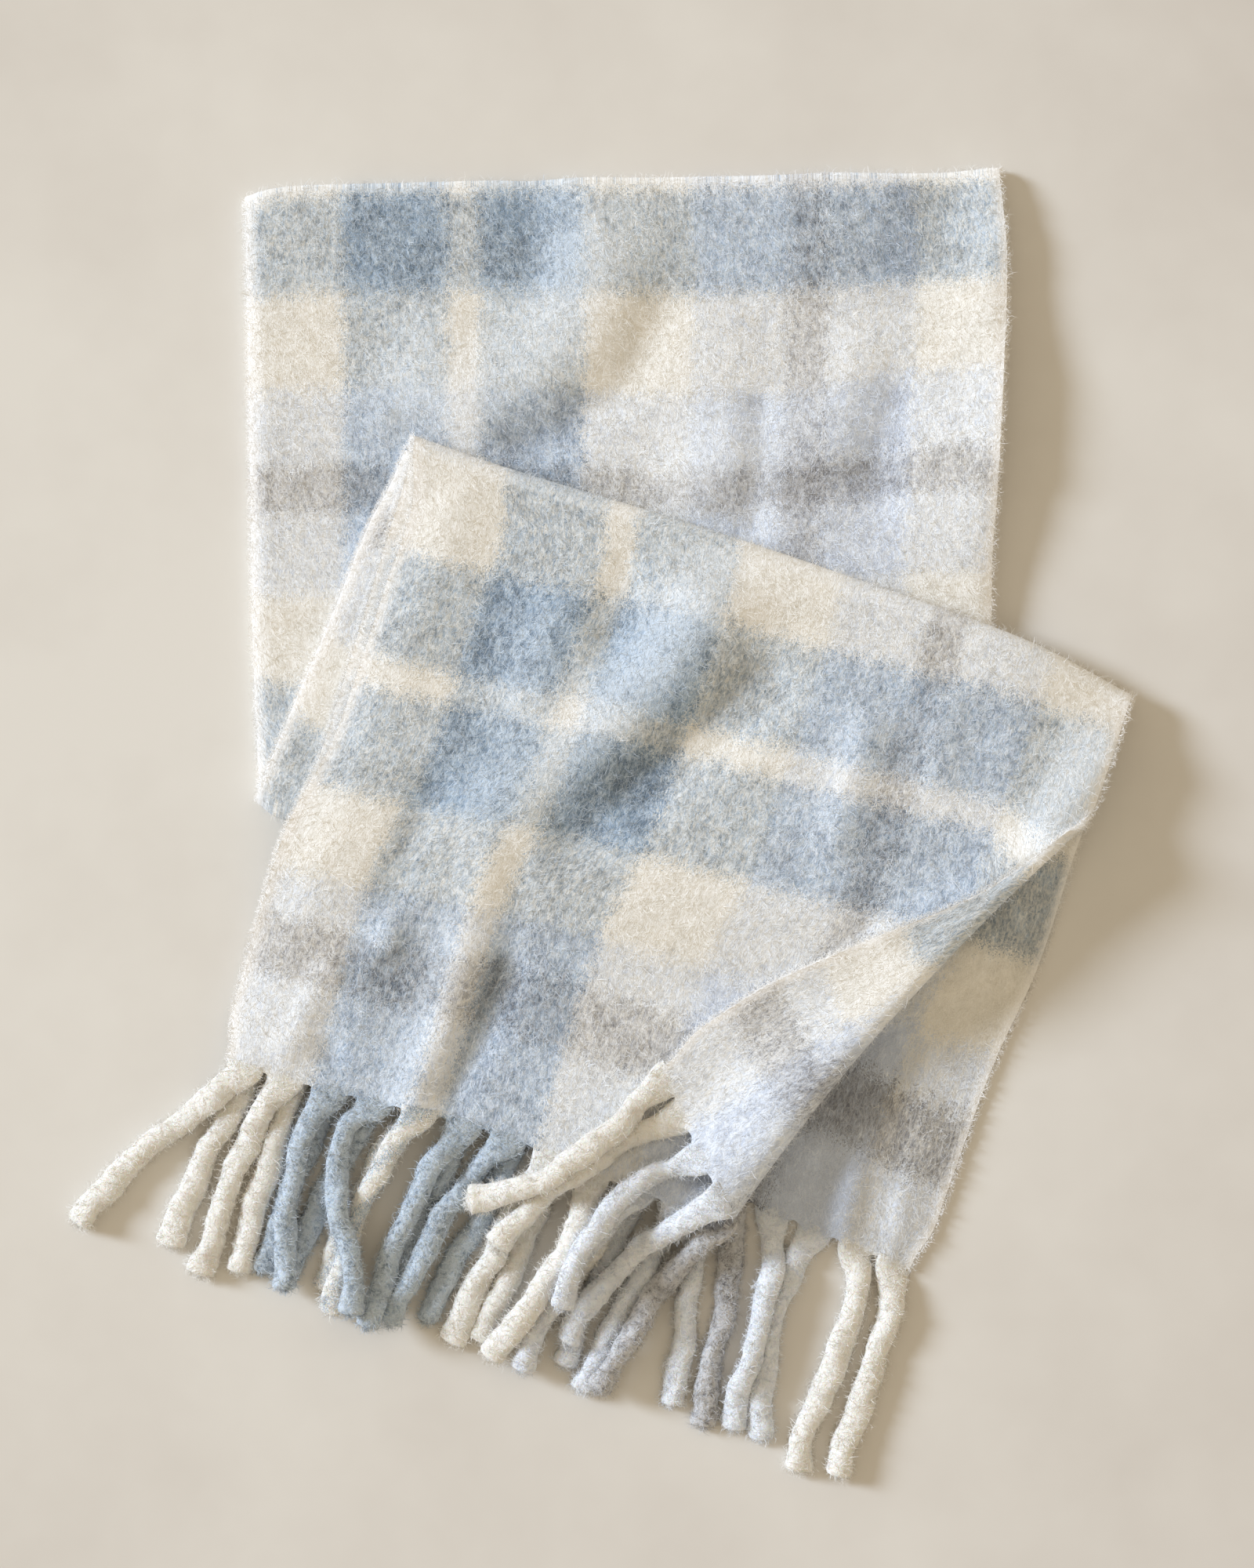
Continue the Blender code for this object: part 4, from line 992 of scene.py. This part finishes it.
top_shown = np.ones((len(top_rows) - 1, TOP_ACROSS_CELLS))
top_shown[:3] = 0
top_fibres = [fibres(top_rows, top_places, count=58000, length=0.0070, seed=61, shown=top_shown)]
top_fibres += rim_fibres(top_rows, top_places, count=3600, length=0.006, seed=63)
top_nap = nap_piece("top_end_nap", top_fibres)

# ----------------------------------------------------------------------------------------------------------
# The tassels
# ----------------------------------------------------------------------------------------------------------
# Each tassel gathers the warp ends of a sixteenth of the cloth's width, twisted together and brushed out to a
# soft round rope with a blunt cut tip. They lie as they fell, over and under each other.

TASSEL_HALF_WIDTH = 0.0066
TASSEL_ROOT_HALF_WIDTH = 0.0118
TASSEL_SETTLES = 0.024  # the length over which its flat root becomes a round rope
TASSEL_STEPS = 12
TASSEL_RINGS = 60
TASSEL_SIDES = 13
TASSEL_CLEAR = 0.0006
TASSEL_REACH = 0.0135  # how near two middle lines come before one tassel lies on the other
TASSEL_FALL = 0.45  # the steepest slopes of a tassel, down and up
TASSEL_CLIMB = 0.70
TOP_HALF_HEIGHT = 0.0045
UNDER_HALF_HEIGHT = 0.0031
ROOT_PAST_END = 0.0053
FACE_PAST_END = 0.014  # how far past its end the upper stretch still holds tassels up
TWIST = 75.0  # radians for each metre
TWO_PLY = 0.09  # how deep the twist's groove shows
LUMPS = [(0.041, 0.036), (0.021, 0.030), (0.012, 0.024), (0.0075, 0.015), (0.0048, 0.010)]
SWAYS = [(0.055, 0.0009), (0.030, 0.0004)]  # wavelengths and depths, as for the lumps
TIP_ROUNDING = 0.004
BRUSHED_TIP = 0.018  # the last of a tassel is brushed out wider
BRUSHED_WIDER = 0.14
CREAM_STOUTER = 1.14
FLATTENED = 0.86
TASSEL_FLOOR = 0.0003
# The hairs on each tassel.
FUZZ = {"count": 2100, "length": 0.0064, "off": 0.0002, "lift": (8, 60), "spread": 70, "thickness": 0.0003}
PAST_THE_END = -0.004  # the places of tassels in the cloth start here, where there is no more weft

# Where across the cloth the warp ends of the sixteen tassels come from.
TASSEL_YARNS = [0.028, 0.042, 0.075, 0.098, 0.128, 0.155, 0.183, 0.215, 0.240, 0.284, 0.300, 0.332, 0.358]
TASSEL_YARNS += [0.380, 0.415, 0.430]
CREAM_TASSELS = [TASSEL_YARNS[number] for number in (0, 1, 7, 8, 14, 15)]
MIXED_TASSEL = TASSEL_YARNS[4]  # half cream and half blue

# root across the cloth in tassel pitches, length, bearing at the root, in the middle and at the tip
TOP_TASSELS = [
    (0.5, 0.137, 50, 50, 26),
    (1.5, 0.127, 38, 20, 18),
    (2.5, 0.122, 37, 7, 7),
    (3.5, 0.133, 56, -12, 18),
    (4.5, 0.131, 43, 20, 14),
    (5.5, 0.133, 41, 22, 21),
    (6.5, 0.131, 49, 29, 27),
    (7.5, 0.126, 34, 27, 26),
    (8.5, 0.126, 12, 34, 32),
    (9.5, 0.127, 48, 30, 24),
    (10.5, 0.123, 30, 28, 22),
]
CORNER_TASSELS = [
    (11.5, 0.124, 50, 33, 28),
    (12.5, 0.127, 62, 46, 22),
    (13.5, 0.126, 76, 38, 12),
    (14.5, 0.135, 69, 54, 35),
    (15.5, 0.139, 45, 58, 88),
]
UNDER_TASSELS = [
    (0.5, 0.130, 24, 27, 10),
    (1.5, 0.133, 14, 18, 11),
    (2.5, 0.131, 26, 22, 11),
    (3.5, 0.133, 30, 28, 16),
    (4.5, 0.135, 45, 26, 18),
    (5.5, 0.130, 26, 24, 20),
    (6.5, 0.133, 12, 30, 20),
    (7.5, 0.133, 18, 22, 23),
    (8.5, 0.134, -16, 34, 22),
    (9.5, 0.130, 20, 24, 20),
    (10.5, 0.135, -10, 8, 5),
    (11.5, 0.138, -6, 12, 4),
    (12.5, 0.131, -4, 16, 8),
    (13.5, 0.130, 36, 10, 4),
    (14.5, 0.138, -6, 24, 3),
    (15.5, 0.130, 2, 20, 10),
]


def bearing_direction(degrees):
    return np.array((-math.sin(math.radians(degrees)), -math.cos(math.radians(degrees))))


def tassel_line(root, length, bearings, laid, half_height, floor_of):
    """A tassel's middle line: its plan route, and heights that rest on whatever lies under it."""
    at_root, at_middle, at_tip = bearings
    step = length / TASSEL_STEPS
    places, heights = [np.array(root[:2])], [root[2]]
    for k in range(TASSEL_STEPS):
        t = k / TASSEL_STEPS
        bearing = at_root * (1 - t) * (1 - 2 * t) + at_middle * 4 * t * (1 - t) + at_tip * t * (2 * t - 1)
        place = places[-1] + bearing_direction(bearing) * step
        lowest = max(rest_height(place, laid, half_height), floor_of(place) + half_height)
        places.append(place)
        heights.append(max(lowest, heights[-1] - TASSEL_FALL * step))
    for k in range(TASSEL_STEPS - 1, 0, -1):
        heights[k] = max(heights[k], heights[k + 1] - TASSEL_CLIMB * step)
    laid.append((places, heights, half_height))
    return np.array([(*place, height) for place, height in zip(places, heights)])


def rest_height(place, laid, half_height):
    """The lowest that a tassel's middle may lie at a place, on the floor and on the tassels laid before."""
    lowest = half_height + TASSEL_CLEAR
    for places, heights, lower_half in laid:
        for k in range(len(places) - 1):
            run = places[k + 1] - places[k]
            share = min(max((place - places[k]) @ run / (run @ run), 0.0), 1.0)
            if np.linalg.norm(place - places[k] - run * share) < TASSEL_REACH:
                height = heights[k] + (heights[k + 1] - heights[k]) * share
                lowest = max(lowest, height + lower_half + half_height + TASSEL_CLEAR)
    return lowest


def tassel_rows(line, over, yarn, seed):
    """The rings of a tassel's skin: flat and wide at its root, then a lumpy twisted rope with a blunt tip."""
    random = np.random.default_rng(seed)
    centres = curve_through(line)(np.linspace(0, 1, TASSEL_RINGS))
    run = unit(np.gradient(centres, axis=0))
    distance = np.concatenate([[0.0], np.cumsum(np.linalg.norm(np.diff(centres, axis=0), axis=1))])[:, None]
    level = unit(np.stack([run[:, 1], -run[:, 0], np.zeros(len(run))], axis=1))
    settled = smooth(distance / TASSEL_SETTLES)
    turned = np.where(np.sum(level * over, axis=1, keepdims=True) < 0, -1.0, 1.0)
    side = unit(over * (1 - settled) + level * turned * settled)
    up = unit(np.cross(run, side))
    tip = np.sqrt(np.clip(1 - (1 - np.clip((distance[-1] - distance) / TIP_ROUNDING, 0, 1)) ** 2, 0.0, 1.0))
    angle = np.linspace(0, 2 * math.pi, TASSEL_SIDES + 1)
    twist = TWIST * distance + random.uniform(0, 6)
    lumps = TWO_PLY * np.cos(2 * angle - twist)
    for wavelength, depth in LUMPS:
        for turns in range(4):
            phase, spin = random.uniform(0, 2 * math.pi, 2)
            wave = depth * np.cos(math.tau * distance / wavelength + phase)
            lumps = lumps + wave * np.cos(turns * angle + spin)
    lumps = 1 + lumps * settled
    sway = 0.0
    for wavelength, reach in SWAYS:
        sway = sway + reach * np.cos(math.tau * distance / wavelength + random.uniform(0, 2 * math.pi))
    centres = centres + side * sway * settled
    flare = 1 + BRUSHED_WIDER * smooth((distance - distance[-1] + BRUSHED_TIP) / BRUSHED_TIP)
    stout = TASSEL_HALF_WIDTH * (CREAM_STOUTER if yarn in CREAM_TASSELS else 1.0) * random.uniform(0.95, 1.06)
    half_width = TASSEL_ROOT_HALF_WIDTH * (1 - settled) + stout * flare * settled
    half_height = WALL * 0.45 * (1 - settled) + stout * FLATTENED * settled
    around = side[:, None] * (np.cos(angle) * half_width * lumps)[..., None]
    above = up[:, None] * (np.sin(angle) * half_height * lumps)[..., None]
    rows = centres[:, None] + (around + above) * tip[..., None]
    rows[..., 2] = np.maximum(rows[..., 2], TASSEL_FLOOR)
    swirl = np.sin(angle - twist) * (0.011 if yarn == MIXED_TASSEL else 0.004)
    return rows, np.stack([yarn + swirl, PAST_THE_END - distance + 0 * swirl, 0 * swirl], axis=-1), centres


def row_at(row, share):
    """The point a share of the way along a row of points."""
    shares = np.linspace(0, 1, len(row))
    return np.array([np.interp(share, shares, row[:, axis]) for axis in range(3)])


def fringe(name, rows, tassels, laid, half_height, floor_of, seed, order=1):
    """All the tassels of one stretch of the cloth's end, as one piece, with their nap as another."""
    node = name + "_fringe"
    end, before = rows[-1 - TONGUE_ROWS], rows[-3 - TONGUE_ROWS]
    blades, made = [], []
    for number, (root, length, *bearings) in list(enumerate(tassels))[::order]:
        share = root / TASSELS
        column, inner = row_at(end, share), row_at(before, share)
        over = unit(row_at(end, share + 0.01) - row_at(end, share - 0.01))
        down = unit(column - inner)
        start = column + down * ROOT_PAST_END
        line = tassel_line(start, length, bearings, laid, half_height, floor_of)
        line = np.concatenate([[column - down * 0.001], line])
        skin, places, centres = tassel_rows(line, over, TASSEL_YARNS[int(root)], seed + number)
        tassel = sheet_mesh(f"{name}_tassel_{number}", skin, places)
        bpy.ops.object.mode_set(mode="EDIT")
        bpy.ops.mesh.select_all(action="SELECT")
        bpy.ops.mesh.remove_doubles(threshold=0.00005)
        bpy.ops.mesh.normals_make_consistent(inside=False)
        bpy.ops.object.mode_set(mode="OBJECT")
        bpy.ops.object.shade_smooth()
        made.append(tassel)
        inside = centres[:-1, None]
        blades.append(fibres(skin, places, seed=seed + 100 + number, centres=inside, **FUZZ))
    bpy.ops.object.select_all(action="DESELECT")
    for tassel in made:
        tassel.select_set(True)
    bpy.context.view_layer.objects.active = made[0]
    bpy.ops.object.join()
    piece = bpy.context.object
    piece.name = piece.data.name = name + "_tassels"
    piece.data.materials.append(fluffed_wool)
    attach(piece, "root")
    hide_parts(node)
    nap = nap_piece(name + "_tassels_nap", blades, highlit_fluff_nap)
    return piece, nap


def bare_floor(place):
    return 0.0


top_end_places = curve_through(TOP_END)(np.linspace(0, 1, 41))


def upper_face(place):
    """The top of the upper end, for the tassels that lie across it, and the floor past its end."""
    spot = place + PLAN_CENTRE
    nearest = int(np.argmin(np.linalg.norm(top_end_places - spot, axis=1)))
    low, high = max(nearest - 1, 0), min(nearest + 1, len(top_end_places) - 1)
    run = unit(top_end_places[high] - top_end_places[low])
    if (spot - top_end_places[nearest]) @ np.array((run[1], -run[0])) > FACE_PAST_END:
        return 0.0
    return float(top_middle_height(spot)) + LAYER / 2 + LAYER_AIR


laid = []
under_fringe, under_fringe_nap = fringe(
    "under_end", under_rows, UNDER_TASSELS, laid, UNDER_HALF_HEIGHT, bare_floor, seed=200, order=-1
)
top_fringe, top_fringe_nap = fringe(
    "top_end", top_rows, TOP_TASSELS, laid, TOP_HALF_HEIGHT, bare_floor, seed=300, order=-1
)
corner_fringe, corner_fringe_nap = fringe(
    "turned_corner", top_rows, CORNER_TASSELS, laid, TOP_HALF_HEIGHT, upper_face, seed=400
)

# ----------------------------------------------------------------------------------------------------------
# Floor, light and camera
# ----------------------------------------------------------------------------------------------------------
# A pale, faintly mottled plaster floor, painted a little brighter left of the scarf as the light falls off,
# one large soft light from the left with a warm fill all round, and a camera straight overhead.

FLOOR_SIZE = 6.0
# Painted light: the floor is painted brighter round this spot and darker away from it.
FLOOR_PAINTED_LIGHT_CENTRE = (-0.16, 0.04, 0.0)
FLOOR_PAINTED_FALLOFF = 0.80  # how far from the centre of the painted light the floor is painted darkest
FRAME_HEIGHT = 0.9346
FRAME_LEVEL = 0.012  # where the frame is as high as that
VIEW_CENTRE = (0.0133, 0.0245)
CAMERA_HEIGHT = 3.0
SENSOR = 36.0
LIGHT_ELEVATION = math.radians(24)
LIGHT_BEARING = math.radians(162)
LIGHT_SPREAD = math.radians(15)
LIGHT_ENERGY = 3.66
LIGHT_COLOUR = (0.72, 0.83, 1.0)
FILL_COLOUR = (0.61, 0.53, 0.41, 1.0)
MOTTLING = 1.2

bpy.ops.object.select_all(action="DESELECT")
bpy.ops.mesh.primitive_plane_add(size=FLOOR_SIZE)
floor = bpy.context.object
floor.name = "floor"
plaster = bpy.data.materials.new("plaster")
plaster.use_nodes = True
start = Wire(plaster.node_tree)
spot = start.node("TexCoord", {}, {}, output=3)
mottle = start.node("TexNoise", {}, {"Vector": spot, "Scale": 6.0, "Detail": 4.0, "Roughness": 0.6})
away = start.node("VectorMath", {"operation": "DISTANCE"}, {0: spot, 1: FLOOR_PAINTED_LIGHT_CENTRE}, output=1) / FLOOR_PAINTED_FALLOFF
tone = {"stops": [(0.0, colour(206, 199, 190)), (1.0, colour(227, 223, 215))]}
# painted fall-off of the light, with the plaster's own mottling on it
tint = start.node("ValToRGB", tone, {0: 1.0 - away * away + (mottle - 0.5) * MOTTLING})
plaster_shader = plaster.node_tree.nodes["Principled BSDF"]
plaster.node_tree.links.new(tint.socket, plaster_shader.inputs["Base Color"])
plaster_shader.inputs["Roughness"].default_value = 0.9
plaster_shader.inputs["Specular IOR Level"].default_value = 0.2
floor.data.materials.append(plaster)

bpy.ops.object.light_add(type="SUN", location=(-1.5, 0.5, 0.8))
window = bpy.context.object
window.name = "window_light"
window.rotation_euler = (0.0, math.pi / 2 - LIGHT_ELEVATION, LIGHT_BEARING)
window.data.angle = LIGHT_SPREAD
window.data.energy = LIGHT_ENERGY
window.data.color = LIGHT_COLOUR

world = bpy.data.worlds.new("warm_room")
bpy.context.scene.world = world
world.use_nodes = True
world.node_tree.nodes["Background"].inputs["Color"].default_value = FILL_COLOUR
world.node_tree.nodes["Background"].inputs["Strength"].default_value = 1.0

bpy.ops.object.camera_add(location=(*VIEW_CENTRE, CAMERA_HEIGHT), rotation=(0.0, 0.0, 0.0))
camera = bpy.context.object
camera.data.sensor_width = SENSOR
camera.data.lens = SENSOR * (CAMERA_HEIGHT - FRAME_LEVEL) / FRAME_HEIGHT
bpy.context.scene.camera = camera
bpy.context.scene.view_settings.view_transform = "Standard"
